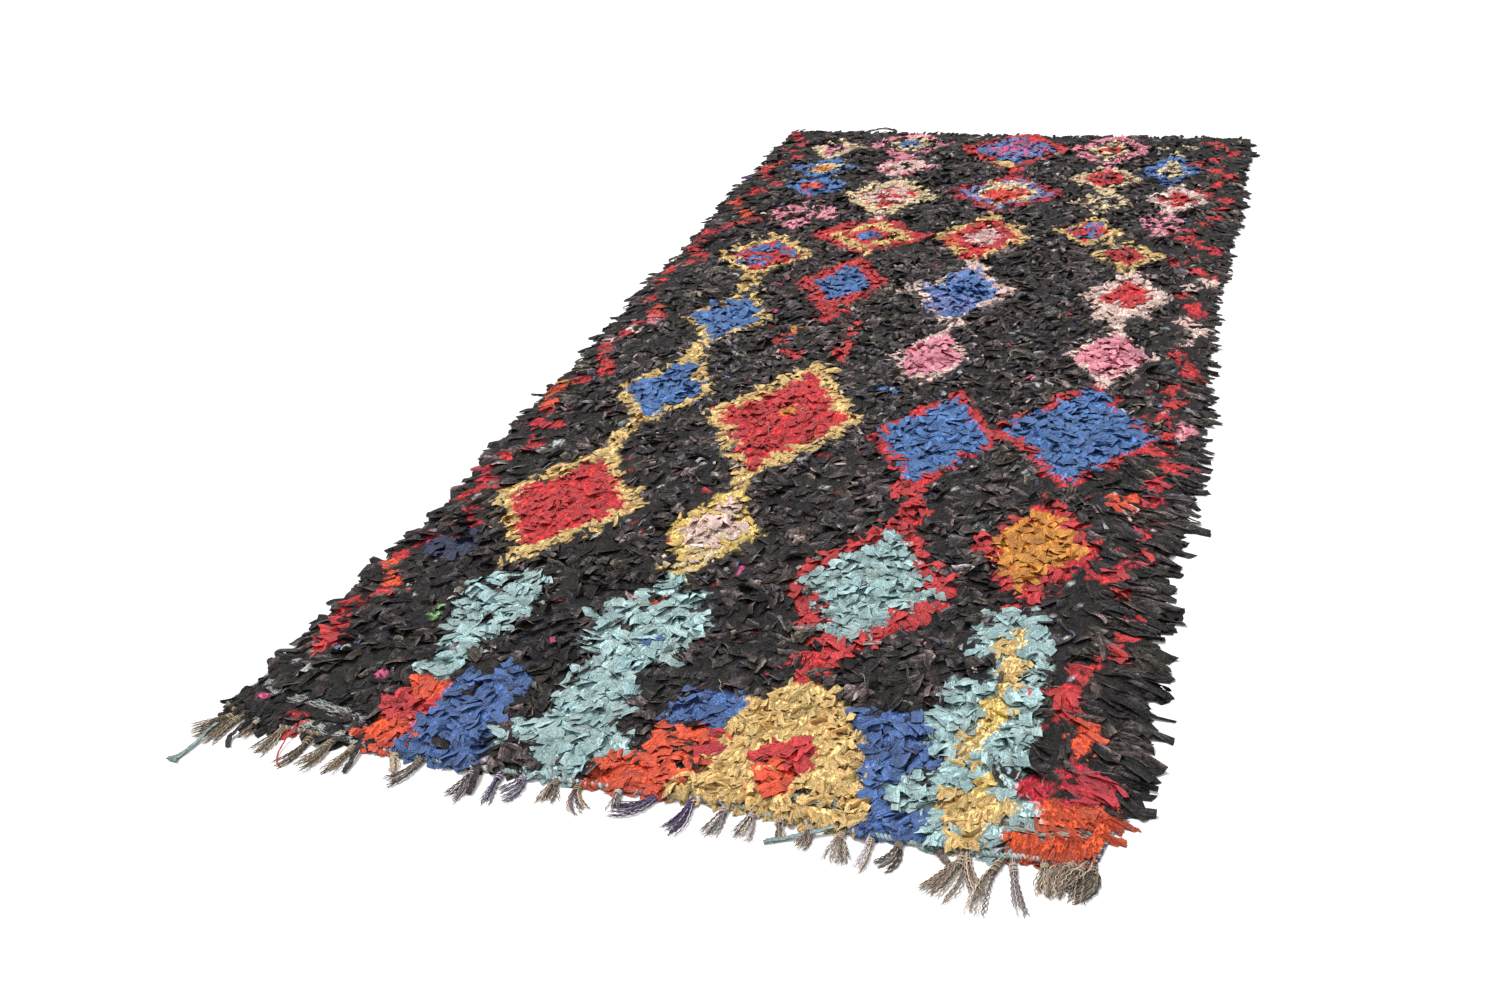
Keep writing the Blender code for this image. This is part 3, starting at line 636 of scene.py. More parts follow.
def lay_pile():
    kx, ky = knots()
    rows, per_row = kx.shape
    n_knots = kx.size
    # the crowded knots themselves fill the bottom of the pile
    gy, gx = np.meshgrid(MAP_Y0 + (np.arange(height_map.shape[0]) + 0.5) * CELL, MAP_X0 + (np.arange(height_map.shape[1]) + 0.5) * CELL, indexing="ij")
    floor_gap = inside(gx, gy)
    height_map[:] = np.where(floor_gap > 0, 0.0085 * ease(floor_gap / 0.015) * (near_bare(gx, gy) > 0.012), 0.0)

    knot = np.arange(n_knots)
    x, y = kx.ravel(), ky.ravel()
    look_y = y - 0.022
    code, lean = pattern(x, look_y, knot, n_knots)
    cut = cut_of(code, x, look_y)
    copies = np.array([CUTS[c][0] for c in CUT_NAMES])[cut]
    strip = np.repeat(knot, copies)
    n = len(strip)
    which = np.concatenate([np.arange(c) for c in copies])
    share = (which + 0.5) / copies[strip] * 2 - 1                  # -1 to 1 within a knot
    row = strip // per_row
    sx = x[strip] + 0.0075 * share + rng.normal(0, 0.0015, n)
    sy = y[strip] + rng.normal(0, 0.0030, n) - 0.006 * (which > 1)

    # headings: to the front, the two ends apart, leaning out of their motif
    clump = rng.normal(0, 0.40, n_knots)[strip]
    heading = -math.pi / 2 + share * rng.uniform(0.2, 1.25, n) + 0.9 * lean[strip] + clump + rng.normal(0, 0.40, n)
    wild = np.isin(code[strip], DARKS)
    heading = heading + np.where(wild, rng.normal(0, 0.42, n), 0)
    stray = rng.random(n) < np.where(wild, 0.15, 0.08)
    heading[stray] = rng.uniform(-math.pi, math.pi, stray.sum())
    corner = (sx < 0.27) & (sy < 0.125)
    heading[corner] = -2.15 + rng.normal(0, 0.45, corner.sum())
    left_gap = sx - along(LEFT_EDGE, sy)
    right_gap = along(RIGHT_EDGE, sy) - sx
    for gap, out in ((left_gap, -math.pi), (right_gap, 0.0)):
        pull = np.clip(1.25 - gap / 0.12, 0, 1) * rng.uniform(0.6, 1.0, n) * ~corner
        goal = out + (0.60 if out < 0 else -0.60) * rng.uniform(-0.15, 1.0, n)
        heading = heading + pull * (goal - heading)
    neat = (sx > 1.325) & (sy < 0.105)
    aim = np.where(sy < 0.036, -1.80 + 0.5 * (sx - 1.40) / 0.08, -1.45 + 1.25 * ease((sx - 1.36) / 0.12))
    heading[neat] = (aim + rng.normal(0, 0.14, n))[neat]
    long_side = (right_gap < 0.15) & (sy < 1.25) & ~neat
    heading[long_side] = (-0.30 + rng.normal(0, 0.38, n) - 3.2 * np.clip(right_gap - 0.05, 0, 1))[long_side]
    back_gap = along(BACK_EDGE, sx) - sy
    behind = (back_gap < 0.045) & (rng.random(n) < 0.6)
    heading[behind] = math.pi / 2 + rng.normal(0, 0.55, behind.sum())

    # each strip takes its colour from where it shows
    length0 = 0.048
    mx, my = sx + 0.58 * length0 * np.cos(heading), sy + 0.58 * length0 * np.sin(heading)
    front_gap = sy - along(FRONT_EDGE, sx)
    my = np.maximum(my, along(FRONT_EDGE, mx) + 0.004)
    code, lean = pattern(mx, my, strip, n_knots)
    cut = cut_of(code, mx, my)
    tx, ty = sx + length0 * np.cos(heading), sy + length0 * np.sin(heading)
    ty = np.maximum(ty, along(FRONT_EDGE, tx) + 0.002)
    tip_code, _ = pattern(tx, ty, strip, n_knots)
    low = np.array([CUTS[c][1][0] for c in CUT_NAMES])[cut]
    high = np.array([CUTS[c][1][1] for c in CUT_NAMES])[cut]
    width = rng.uniform(low, high)
    side_gap = np.minimum(left_gap, right_gap)
    width *= np.where((side_gap < 0.10) & ~neat, rng.uniform(0.9, 1.35, n) - 0.30 * ease((sy - 1.0) / 0.4), 1.0)
    width = np.where(long_side, width * rng.uniform(0.62, 0.88, n), width)
    width = np.where(neat, rng.uniform(0.013, 0.019, n), width)
    width = np.where(corner, rng.uniform(0.014, 0.024, n), width)
    low = np.array([CUTS[c][2][0] for c in CUT_NAMES])[cut]
    high = np.array([CUTS[c][2][1] for c in CUT_NAMES])[cut]
    length = rng.uniform(low, high)
    dark, tip_dark = np.isin(code, DARKS), np.isin(tip_code, DARKS)
    other = (code != tip_code) & ~(dark & tip_dark)
    length = np.where(other, length * 0.72, length)
    room = near_bare(sx, sy)
    keep = room > 0.002
    cover = rng.random(n) < np.where(corner, 0.44, 0.28)
    length = np.where((room < 0.06) & ~cover, np.minimum(length, room + rng.uniform(0.004, 0.014, n)), length)
    gap = np.minimum(np.minimum(left_gap, right_gap), back_gap)
    near = gap < 0.03
    length = np.where((side_gap < 0.10) & (side_gap > 0.03), length * rng.uniform(1.0, 1.25, n), length)
    length = np.where(long_side, length * rng.uniform(1.1, 1.5, n), length)
    proud = rng.random(n_knots)[strip] < 0.40
    over = np.where(proud, rng.uniform(0.020, 0.046, n), rng.uniform(-0.004, 0.012, n))
    over = over * (1 - 0.45 * ease((sy - 1.5) / 0.5) * (right_gap < 0.15))
    length = np.where(near, np.minimum(length * 1.25, gap + over), length)
    length = np.where(neat & (front_gap > 0.03), np.maximum(length, 0.040), length)
    ahead = front_gap < 0.05
    length = np.where(ahead, np.minimum(length, front_gap + np.where(corner, rng.uniform(0.014, 0.032, n) + np.where(rng.random(n) < 0.35, 0.018, 0), rng.uniform(0.008, 0.020, n))), length)
    length = np.maximum(length, 0.020)
    low = np.array([CUTS[c][3][0] for c in CUT_NAMES])[cut]
    high = np.array([CUTS[c][3][1] for c in CUT_NAMES])[cut]
    batch = {
        "x": sx, "y": sy, "heading": heading, "width": width, "length": length,
        "fold": rng.uniform(low, high) + np.where((side_gap < 0.09) & ~long_side, 0.35, 0.0) + np.where(long_side, 0.10, 0.0) + np.where(corner, 0.45, 0.0),
        "pleat": np.array([CUTS[c][4] for c in CUT_NAMES])[cut],
        "crumple": np.array([CUTS[c][5] for c in CUT_NAMES])[cut] * rng.uniform(0.6, 1.4, n),
        "tip": rng.normal(0, 1, n) * np.array([CUTS[c][6] for c in CUT_NAMES])[cut] * np.where(neat, 0.5, 1.0),
        "twist": rng.normal(0, 0.30, n) * np.where(neat, 0.3, 1.0),
        "bend": rng.normal(0, 0.45, n) * np.where(neat | long_side, 0.35, 1.0),
        "kink": rng.normal(0, 0.30, n) * np.where(neat | long_side, 0.25, 1.0),
        "slant": rng.uniform(-0.6, 0.6, n),
        "point": np.where(near, rng.uniform(0.2, 1.0, n) + np.where(proud, rng.uniform(0.2, 1.4, n), 0), rng.uniform(-0.1, 0.2, n)),
        "lift": rng.normal(0, 0.0014, n) + rng.normal(0, 0.0022, n_knots)[strip] + np.where(dark, 0, 0.0012),
    }
    bit = dark & (rng.random(n) < np.where(sy > 1.9, 0.011, 0.016)) & (gap > 0.05)
    for key, lo, hi in (("width", 0.007, 0.012), ("length", 0.018, 0.030)):
        batch[key] = np.where(bit, rng.uniform(lo, hi, n), batch[key])
    batch["lift"] = np.where(bit, 0.003, batch["lift"])
    scraps = np.array([CODE[m] for m in ("white", "lilac", "pale", "crimson", "navy", "violet", "magenta", "white", "steel")])
    code = np.where(bit, scraps[rng.integers(0, len(scraps), n)], code)
    # shade: each strip, its knot, and the run of knots cut from one rag
    runs = rng.normal(0, 1, (rows, 14))
    run = runs[row, np.clip((sx / 1.5 * 14).astype(int), 0, 13)]
    shade = 0.55 * run + 0.5 * rng.normal(0, 1, n_knots)[strip] + 0.5 * rng.normal(0, 1, n)
    # dark strips: more of them are grey across the middle of the rug, and all are lighter from the middle back, a
    # little less at the back end, and darker at the front-left corner
    shade = shade + np.where(dark & (rng.random(n) < np.where((sy > 0.75) & (sy < 1.8), 0.21, 0.12)), rng.uniform(0.6, 1.8, n), 0)
    shade = shade + np.where(dark, 0.92 * ease((sy - 0.75) / 0.3) - 0.34 * ease((sy - 1.9) / 0.4) - 0.45 * ease((0.62 - sx) / 0.2) * ease((0.9 - sy) / 0.3), 0)
    hue = 0.6 * rng.normal(0, 1, n_knots)[strip] + 0.6 * rng.normal(0, 1, n)
    grid = np.isin(cut, [CUT_NAMES.index(c) for c in ("straw", "tube", "red")]).astype(int)
    grid[long_side] = 1
    grid[(cut == CUT_NAMES.index("fine")) & (sy > 1.9)] = 2
    order = np.where(bit, 5, np.where(dark, rng.integers(0, 5, n), rng.integers(1, 6, n)))
    order[(sx > 1.2) & (sx < 1.37) & (sy < 0.58) & np.isin(code, [CODE["sand"], CODE["yellow"]])] = 5
    laid = [[] for _ in GRIDS]
    for j in range(rows):
        for k in range(6):
            calm(ky[j].min() - 0.10, ky[j].max() + 0.10)
            for g, (nu, nv) in enumerate(GRIDS):
                pick = np.flatnonzero((row == j) & (order == k) & (grid == g) & keep)
                if len(pick):
                    laid[g].append((lay({key: v[pick] for key, v in batch.items()}, nu, nv), pick))
    out = []
    for part in laid:
        pts = np.concatenate([p for p, _ in part])
        pick = np.concatenate([q for _, q in part])
        out.append({
            "points": pts, "code": code[pick], "shade": shade[pick], "hue": hue[pick],
            "size": np.stack([width[pick], length[pick]], 1),
        })
    return out, (kx, ky)


# ---------------------------------------------------------------- mesh helpers
def new_mesh(name, points, quads, smooth=True):
    mesh = bpy.data.meshes.new(name)
    mesh.vertices.add(len(points))
    mesh.vertices.foreach_set("co", np.ascontiguousarray(points, np.float32).ravel())
    mesh.loops.add(quads.size)
    mesh.loops.foreach_set("vertex_index", np.ascontiguousarray(quads, np.int32).ravel())
    mesh.polygons.add(len(quads))
    mesh.polygons.foreach_set("loop_start", np.arange(0, quads.size, quads.shape[1], dtype=np.int32))
    mesh.polygons.foreach_set("use_smooth", np.full(len(quads), smooth))
    mesh.update(calc_edges=True)
    mesh.validate()
    return mesh


def add_object(name, mesh, look):
    mesh.materials.append(look)
    made = bpy.data.objects.new(name, mesh)
    bpy.context.scene.collection.objects.link(made)
    return made


def paint(mesh, name, values):
    """A colour for each point, linear."""
    layer = mesh.color_attributes.new(name, "FLOAT_COLOR", "POINT")
    rgba = np.ones((len(values), 4), np.float32)
    rgba[:, :3] = values
    layer.data.foreach_set("color", rgba.ravel())


def map_corners(mesh, name, uv_of_points, quads):
    layer = mesh.uv_layers.new(name=name)
    layer.data.foreach_set("uv", np.ascontiguousarray(uv_of_points[quads.ravel()], np.float32).ravel())


def strip_mesh(name, groups, picks, look):
    """Joins the picked strips of each group (they differ in their grids)."""
    side = math.ceil(math.sqrt(sum(len(p) for p in picks)))
    all_pts, all_quads, all_col, all_uv, all_bake, start, count = [], [], [], [], [], 0, 0
    for strips, pick in zip(groups, picks):
        if not len(pick):
            continue
        pts = strips["points"][pick].copy()
        n, nv, nu, _ = pts.shape
        pts[..., 0] -= CENTRE[0]
        pts[..., 1] -= CENTRE[1]
        i = np.arange(nv - 1)[:, None] * nu + np.arange(nu - 1)[None, :]
        one = np.stack([i, i + 1, i + nu + 1, i + nu], -1).reshape(-1, 4)
        quads = (np.arange(n)[:, None, None] * nu * nv + one[None]).reshape(-1, 4)
        code = strips["code"][pick]
        dark = np.isin(code, DARKS)[:, None]
        spread = np.where(dark, 0.46, 0.12)
        tone = LINEAR[code] * np.exp(spread * np.clip(strips["shade"][pick][:, None], -2.0, 2.9))
        tone = tone * (1 + np.clip(strips["hue"][pick], -2, 2)[:, None] * np.array([0.035, -0.01, -0.03]))
        s = np.broadcast_to(np.linspace(0, 1, nv)[None, :, None], (n, nv, nu))
        u = np.broadcast_to(np.linspace(-1, 1, nu)[None, None, :], (n, nv, nu))
        # the sides and the cut end are lighter: partly frayed threads, partly a painted highlight along the edges
        fray_and_edge_light = 1 + np.where(dark, 0.38, 0.10)[..., None] * np.abs(u) ** 3 + np.where(dark, 0.30, 0.08)[..., None] * s ** 4
        # painted shade: strips are darkened towards the knot, strongly for dark ones, for the shade the pile casts on
        # their roots
        painted_root_shade = np.where(dark, 0.42, 1.0)[..., None]
        painted_root_shade = painted_root_shade + (1 - painted_root_shade) * ease(s / 0.35)
        z = pts[..., 2]
        # painted light and shade: points standing above the strip's middle are made lighter, those below it darker
        ridge = 0.65 * (z - z.mean(2, keepdims=True)) + 0.35 * (z - z.mean((1, 2), keepdims=True))
        painted_ridge_light = np.clip(ridge / 0.0025, -1.3, 2.2) * np.where(dark, 0.64, 0.18)[..., None]
        # painted shade: strips lying low in the pile are made darker, those lying high lighter
        low = np.clip((z - 0.013) / 0.016, 0, 1) * np.where(dark, 0.60, 0.28)[..., None]
        painted_low_shade = 1.06 - np.where(dark, 0.62, 0.26)[..., None] + low
        full = tone[:, None, None, :] * (fray_and_edge_light * painted_root_shade * painted_low_shade * np.exp(painted_ridge_light))[..., None]
        size = strips["size"][pick]
        uv = np.stack([u * 0.5 * size[:, 0][:, None, None], s * size[:, 1][:, None, None]], -1) + rng.uniform(0, 1, (n, 1, 1, 2))
        index = np.arange(n) + count
        cell = np.stack([index % side, index // side], -1)[:, None, None, :]
        bake = (cell + np.stack([0.5 + 0.46 * u, 0.04 + 0.92 * s], -1)) / side
        all_pts.append(pts.reshape(-1, 3))
        all_quads.append(quads + start)
        all_col.append(full.reshape(-1, 3))
        all_uv.append(uv.reshape(-1, 2))
        all_bake.append(bake.reshape(-1, 2))
        start += n * nv * nu
        count += n
    quads = np.concatenate(all_quads)
    mesh = new_mesh(name, np.concatenate(all_pts), quads)
    paint(mesh, "rag", np.concatenate(all_col))
    map_corners(mesh, "cloth", np.concatenate(all_uv), quads)
    map_corners(mesh, "OFBake", np.concatenate(all_bake), quads)
    mesh.set_sharp_from_angle(angle=math.radians(26))
    return add_object(name, mesh, look)


def tubes(paths, radius, sides=5):
    """Closed tubes along paths (n, k, 3); radius is (n, k). Returns points, quads."""
    n, k, _ = paths.shape
    tangent = np.gradient(paths, axis=1)
    tangent /= np.linalg.norm(tangent, axis=2, keepdims=True) + 1e-12
    up = np.array([0.0, 0.0, 1.0])
    side = np.cross(tangent, up)
    size = np.linalg.norm(side, axis=2, keepdims=True)
    side = np.where(size > 0.05, side / (size + 1e-12), np.array([1.0, 0.0, 0.0]))
    over = np.cross(side, tangent)
    a = np.linspace(0, 2 * math.pi, sides, endpoint=False)
    ring = side[:, :, None] * np.cos(a)[None, None, :, None] + over[:, :, None] * np.sin(a)[None, None, :, None]
    pts = paths[:, :, None] + ring * radius[:, :, None, None]
    i = np.arange(k - 1)[:, None] * sides
    b = np.arange(sides)[None, :]
    c = (b + 1) % sides
    one = np.stack([i + b, i + sides + b, i + sides + c, i + c], -1).reshape(-1, 4)
    quads = (np.arange(n)[:, None, None] * k * sides + one[None]).reshape(-1, 4)
    return pts.reshape(-1, 3), quads, (n, k, sides)


# ------------------------------------------------------------------- materials
def node(tree, kind, x, y, **values):
    made = tree.nodes.new(kind)
    made.location = (x, y)
    for key, value in values.items():
        if key in made.inputs:
            made.inputs[key].default_value = value
        else:
            setattr(made, key, value)
    return made


def cloth_material(name, roughness, gloss, sheen, weave, weave_depth, crease_depth, mottle, crease_painted_shade, raised_painted_lit_ridges=False):
    """Rag cloth: its colour comes from the rag, faded and rubbed thin by noise; creases
    along the strip and the weave are bump, painted shade darkens the creases, and with raised ridges thin painted
    highlights run along them."""
    made = bpy.data.materials.new(name)
    made.use_nodes = True
    tree = made.node_tree
    shader = tree.nodes["Principled BSDF"]
    link = tree.links.new

    def span(source, x, y, low, high, to_low, to_high):
        made_range = node(tree, "ShaderNodeMapRange", x, y)
        for key, value in (("From Min", low), ("From Max", high), ("To Min", to_low), ("To Max", to_high)):
            made_range.inputs[key].default_value = value
        link(source, made_range.inputs["Value"])
        return made_range.outputs["Result"]

    def times(a, b, x, y):
        product = node(tree, "ShaderNodeMath", x, y, operation="MULTIPLY")
        link(a, product.inputs[0])
        link(b, product.inputs[1])
        return product.outputs["Value"]

    rag = node(tree, "ShaderNodeAttribute", -1500, 300, attribute_name="rag")
    coords = node(tree, "ShaderNodeTexCoord", -1700, -100)
    cloth = node(tree, "ShaderNodeUVMap", -1700, -500, uv_map="cloth")
    # fading: soft patches, and small flecks where the dye is worn
    patches = node(tree, "ShaderNodeTexNoise", -1300, 100, Scale=90.0, Detail=3.0, Roughness=0.6)
    flecks = node(tree, "ShaderNodeTexNoise", -1300, -120, Scale=700.0, Detail=2.0, Roughness=0.7)
    link(coords.outputs["Object"], patches.inputs["Vector"])
    link(coords.outputs["Object"], flecks.inputs["Vector"])
    fade = span(patches.outputs["Fac"], -1080, 100, 0.28, 0.72, 1 - mottle, 1 + mottle)
    fleck = span(flecks.outputs["Fac"], -1080, -120, 0.3, 0.7, 1 - mottle * 0.7, 1 + mottle * 0.7)
    # creases: ridged noise drawn out along the strip, and finer ones aslant
    def ridges(x, y, scale, stretch, detail, sharp):
        drawn = node(tree, "ShaderNodeVectorMath", x, y, operation="MULTIPLY")
        drawn.inputs[1].default_value = (1.0, stretch, 1.0)
        link(cloth.outputs["UV"], drawn.inputs[0])
        noise = node(tree, "ShaderNodeTexNoise", x + 180, y, Scale=scale, Detail=detail, Roughness=0.55, Distortion=0.6)
        link(drawn.outputs["Vector"], noise.inputs["Vector"])
        away = node(tree, "ShaderNodeMath", x + 360, y, operation="SUBTRACT")
        away.inputs[1].default_value = 0.5
        link(noise.outputs["Fac"], away.inputs[0])
        size = node(tree, "ShaderNodeMath", x + 520, y, operation="ABSOLUTE")
        link(away.outputs["Value"], size.inputs[0])
        return span(size.outputs["Value"], x + 680, y, 0.0, sharp, 0.0, 1.0)

    folds = node(tree, "ShaderNodeMath", -800, -940, operation="ADD")
    link(ridges(-1700, -900, 95.0, 0.35, 1.0, 0.14), folds.inputs[0])
    link(ridges(-1700, -1140, 150.0, 0.8, 2.0, 0.16), folds.inputs[1])
    # painted light and shade along the folds: darker creases, and with raised ridges thin painted highlights along them
    if raised_painted_lit_ridges:
        painted_fold_shade_and_light = span(folds.outputs["Value"], -640, -760, 0.25, 1.15, 2.5, 0.78)
    else:
        painted_fold_shade_and_light = span(folds.outputs["Value"], -640, -760, 0.1, 1.4, 1.0 - crease_painted_shade, 1.0 + 0.45 * crease_painted_shade)
    shade = times(times(fade, fleck, -880, 0), painted_fold_shade_and_light, -760, -60)
    tint = node(tree, "ShaderNodeVectorMath", -600, 220, operation="SCALE")
    link(rag.outputs["Color"], tint.inputs[0])
    link(shade, tint.inputs["Scale"])
    link(tint.outputs["Vector"], shader.inputs["Base Color"])
    link(span(patches.outputs["Fac"], -660, -260, 0.0, 1.0, roughness - 0.08, min(1.0, roughness + 0.08)), shader.inputs["Roughness"])
    # weave: two crossed waves along the cloth's own threads
    warp = node(tree, "ShaderNodeTexWave", -1300, -420, wave_type="BANDS", bands_direction="X", Scale=weave, Distortion=1.5, Detail=1.0)
    weft = node(tree, "ShaderNodeTexWave", -1300, -640, wave_type="BANDS", bands_direction="Y", Scale=weave * 0.9, Distortion=1.5, Detail=1.0)
    link(cloth.outputs["UV"], warp.inputs["Vector"])
    link(cloth.outputs["UV"], weft.inputs["Vector"])
    threads = node(tree, "ShaderNodeMath", -1080, -520, operation="MAXIMUM")
    link(warp.outputs["Fac"], threads.inputs[0])
    link(weft.outputs["Fac"], threads.inputs[1])
    weave_bump = node(tree, "ShaderNodeBump", -660, -520, Strength=0.5, Distance=weave_depth)
    link(threads.outputs["Value"], weave_bump.inputs["Height"])
    crease_bump = node(tree, "ShaderNodeBump", -420, -420, Strength=0.9, Distance=crease_depth, invert=raised_painted_lit_ridges)
    link(folds.outputs["Value"], crease_bump.inputs["Height"])
    link(weave_bump.outputs["Normal"], crease_bump.inputs["Normal"])
    link(crease_bump.outputs["Normal"], shader.inputs["Normal"])
    shader.inputs["Sheen Weight"].default_value = sheen
    shader.inputs["Sheen Roughness"].default_value = 0.45
    shader.inputs["Specular IOR Level"].default_value = gloss
    return made


def yarn_material(name, roughness, sheen):
    made = bpy.data.materials.new(name)
    made.use_nodes = True
    tree = made.node_tree
    shader = tree.nodes["Principled BSDF"]
    link = tree.links.new
    rag = node(tree, "ShaderNodeAttribute", -1100, 300, attribute_name="rag")
    coords = node(tree, "ShaderNodeTexCoord", -1300, -100)
    flecks = node(tree, "ShaderNodeTexNoise", -1100, 40, Scale=420.0, Detail=4.0, Roughness=0.7)
    link(coords.outputs["Object"], flecks.inputs["Vector"])
    fleck = node(tree, "ShaderNodeMapRange", -880, 40)
    fleck.inputs["From Min"].default_value, fleck.inputs["From Max"].default_value = 0.3, 0.7
    fleck.inputs["To Min"].default_value, fleck.inputs["To Max"].default_value = 0.62, 1.34
    link(flecks.outputs["Fac"], fleck.inputs["Value"])
    tint = node(tree, "ShaderNodeVectorMath", -660, 220, operation="SCALE")
    link(rag.outputs["Color"], tint.inputs[0])
    link(fleck.outputs["Result"], tint.inputs["Scale"])
    link(tint.outputs["Vector"], shader.inputs["Base Color"])
    # the plies' twist runs aslant along the yarn
    own = node(tree, "ShaderNodeUVMap", -1300, -420, uv_map="cloth")
    ply = node(tree, "ShaderNodeTexWave", -1080, -420, wave_type="BANDS", bands_direction="DIAGONAL", Scale=260.0, Distortion=2.0, Detail=2.0)
    link(own.outputs["UV"], ply.inputs["Vector"])
    fuzz = node(tree, "ShaderNodeTexNoise", -1080, -640, Scale=2200.0, Detail=2.0)
    link(coords.outputs["Object"], fuzz.inputs["Vector"])
    fuzz_bump = node(tree, "ShaderNodeBump", -660, -640, Strength=0.4, Distance=0.0003)
    link(fuzz.outputs["Fac"], fuzz_bump.inputs["Height"])
    ply_bump = node(tree, "ShaderNodeBump", -420, -420, Strength=0.8, Distance=0.0005)
    link(ply.outputs["Fac"], ply_bump.inputs["Height"])
    link(fuzz_bump.outputs["Normal"], ply_bump.inputs["Normal"])
    link(ply_bump.outputs["Normal"], shader.inputs["Normal"])
    shader.inputs["Roughness"].default_value = roughness
    shader.inputs["Sheen Weight"].default_value = sheen
    shader.inputs["Sheen Roughness"].default_value = 0.6
    shader.inputs["Specular IOR Level"].default_value = 0.25
    return made


def weave_material(name):
    """The ground weave: thick wool wefts over hidden warps, in grey and teal
    bands at the front end and dark wool behind."""
    made = bpy.data.materials.new(name)
    made.use_nodes = True
    tree = made.node_tree
    shader = tree.nodes["Principled BSDF"]
    link = tree.links.new
    coords = node(tree, "ShaderNodeTexCoord", -1700, 0)
    wefts = node(tree, "ShaderNodeTexWave", -1300, 200, wave_type="BANDS", bands_direction="Y", Scale=62.0, Distortion=3.0, Detail=2.0)
    warps = node(tree, "ShaderNodeTexWave", -1300, 0, wave_type="BANDS", bands_direction="X", Scale=48.0, Distortion=1.0, Detail=1.0)
    link(coords.outputs["Object"], wefts.inputs["Vector"])
    link(coords.outputs["Object"], warps.inputs["Vector"])
    apart = node(tree, "ShaderNodeSeparateXYZ", -1500, -300)
    link(coords.outputs["Object"], apart.inputs["Vector"])
    wander = node(tree, "ShaderNodeTexNoise", -1500, -520, Scale=9.0, Detail=3.0)
    link(coords.outputs["Object"], wander.inputs["Vector"])
    bands = node(tree, "ShaderNodeTexNoise", -1300, -300, noise_dimensions="1D", Scale=70.0, Detail=1.0)
    link(apart.outputs["Y"], bands.inputs["W"])
    choose = node(tree, "ShaderNodeValToRGB", -1080, -300)
    ramp = choose.color_ramp
    ramp.interpolation = "CONSTANT"
    stops = ((0.0, "umber"), (0.42, "grey"), (0.52, "teal"), (0.60, "steel"), (0.68, "plum"))
    while len(ramp.elements) < len(stops):
        ramp.elements.new(0.9)
    for element, (place, colour) in zip(ramp.elements, stops):
        element.position = place
        element.color = (*LINEAR[CODE[colour]], 1.0)
    link(bands.outputs["Fac"], choose.inputs["Fac"])
    # only the front end shows those wefts
    front = node(tree, "ShaderNodeMapRange", -1080, -560)
    front.inputs["From Min"].default_value, front.inputs["From Max"].default_value = -1.45, -1.25
    front.inputs["To Min"].default_value, front.inputs["To Max"].default_value = 1.0, 0.0
    link(apart.outputs["Y"], front.inputs["Value"])
    mix = node(tree, "ShaderNodeMix", -800, -200, data_type="RGBA")
    mix.inputs["A"].default_value = (*(LINEAR[CODE["umber"]] * 0.45), 1.0)
    for socket in mix.inputs:
        if socket.name == "A" and socket.type == "RGBA":
            socket.default_value = (*(LINEAR[CODE["umber"]] * 0.45), 1.0)
        if socket.name == "B" and socket.type == "RGBA":
            link(choose.outputs["Color"], socket)
    link(front.outputs["Result"], mix.inputs[0])
    shade = node(tree, "ShaderNodeMapRange", -800, 60)
    shade.inputs["To Min"].default_value, shade.inputs["To Max"].default_value = 0.55, 1.1
    link(wefts.outputs["Fac"], shade.inputs["Value"])
    tint = node(tree, "ShaderNodeVectorMath", -560, 0, operation="SCALE")
    out = [s for s in mix.outputs if s.type == "RGBA"][0]
    link(out, tint.inputs[0])
    link(shade.outputs["Result"], tint.inputs["Scale"])
    link(tint.outputs["Vector"], shader.inputs["Base Color"])
    height = node(tree, "ShaderNodeMath", -1080, 140, operation="ADD")
    link(wefts.outputs["Fac"], height.inputs[0])
    link(warps.outputs["Fac"], height.inputs[1])
    bump = node(tree, "ShaderNodeBump", -400, -300, Strength=0.8, Distance=0.0015)
    link(height.outputs["Value"], bump.inputs["Height"])
    link(bump.outputs["Normal"], shader.inputs["Normal"])
    shader.inputs["Roughness"].default_value = 0.92
    shader.inputs["Sheen Weight"].default_value = 0.2
    return made


LOOKS = {
    # piece         rough  gloss sheen weave  depth    creases  mottle  crease_painted_shade  raised_painted_lit_ridges
    "pile_dark":   (0.46, 0.30, 0.04, 520.0, 0.00018, 0.0030, 0.24, 0.34, True),
    "pile_red":    (0.56, 0.60, 0.10, 640.0, 0.00014, 0.0020, 0.10, 0.12),
    "pile_blue":   (0.58, 0.55, 0.10, 640.0, 0.00014, 0.0022, 0.10, 0.12),
    "pile_teal":   (0.60, 0.45, 0.06, 700.0, 0.00012, 0.0020, 0.06, 0.09),
    "pile_yellow": (0.66, 0.40, 0.06, 480.0, 0.00020, 0.0018, 0.08, 0.12),
    "pile_pink":   (0.66, 0.40, 0.06, 560.0, 0.00016, 0.0018, 0.08, 0.12),
}
looks = {name: cloth_material(name, *row) for name, row in LOOKS.items()}
yarn_look = yarn_material("yarn", 0.9, 0.25)
weave_look = weave_material("ground_weave")


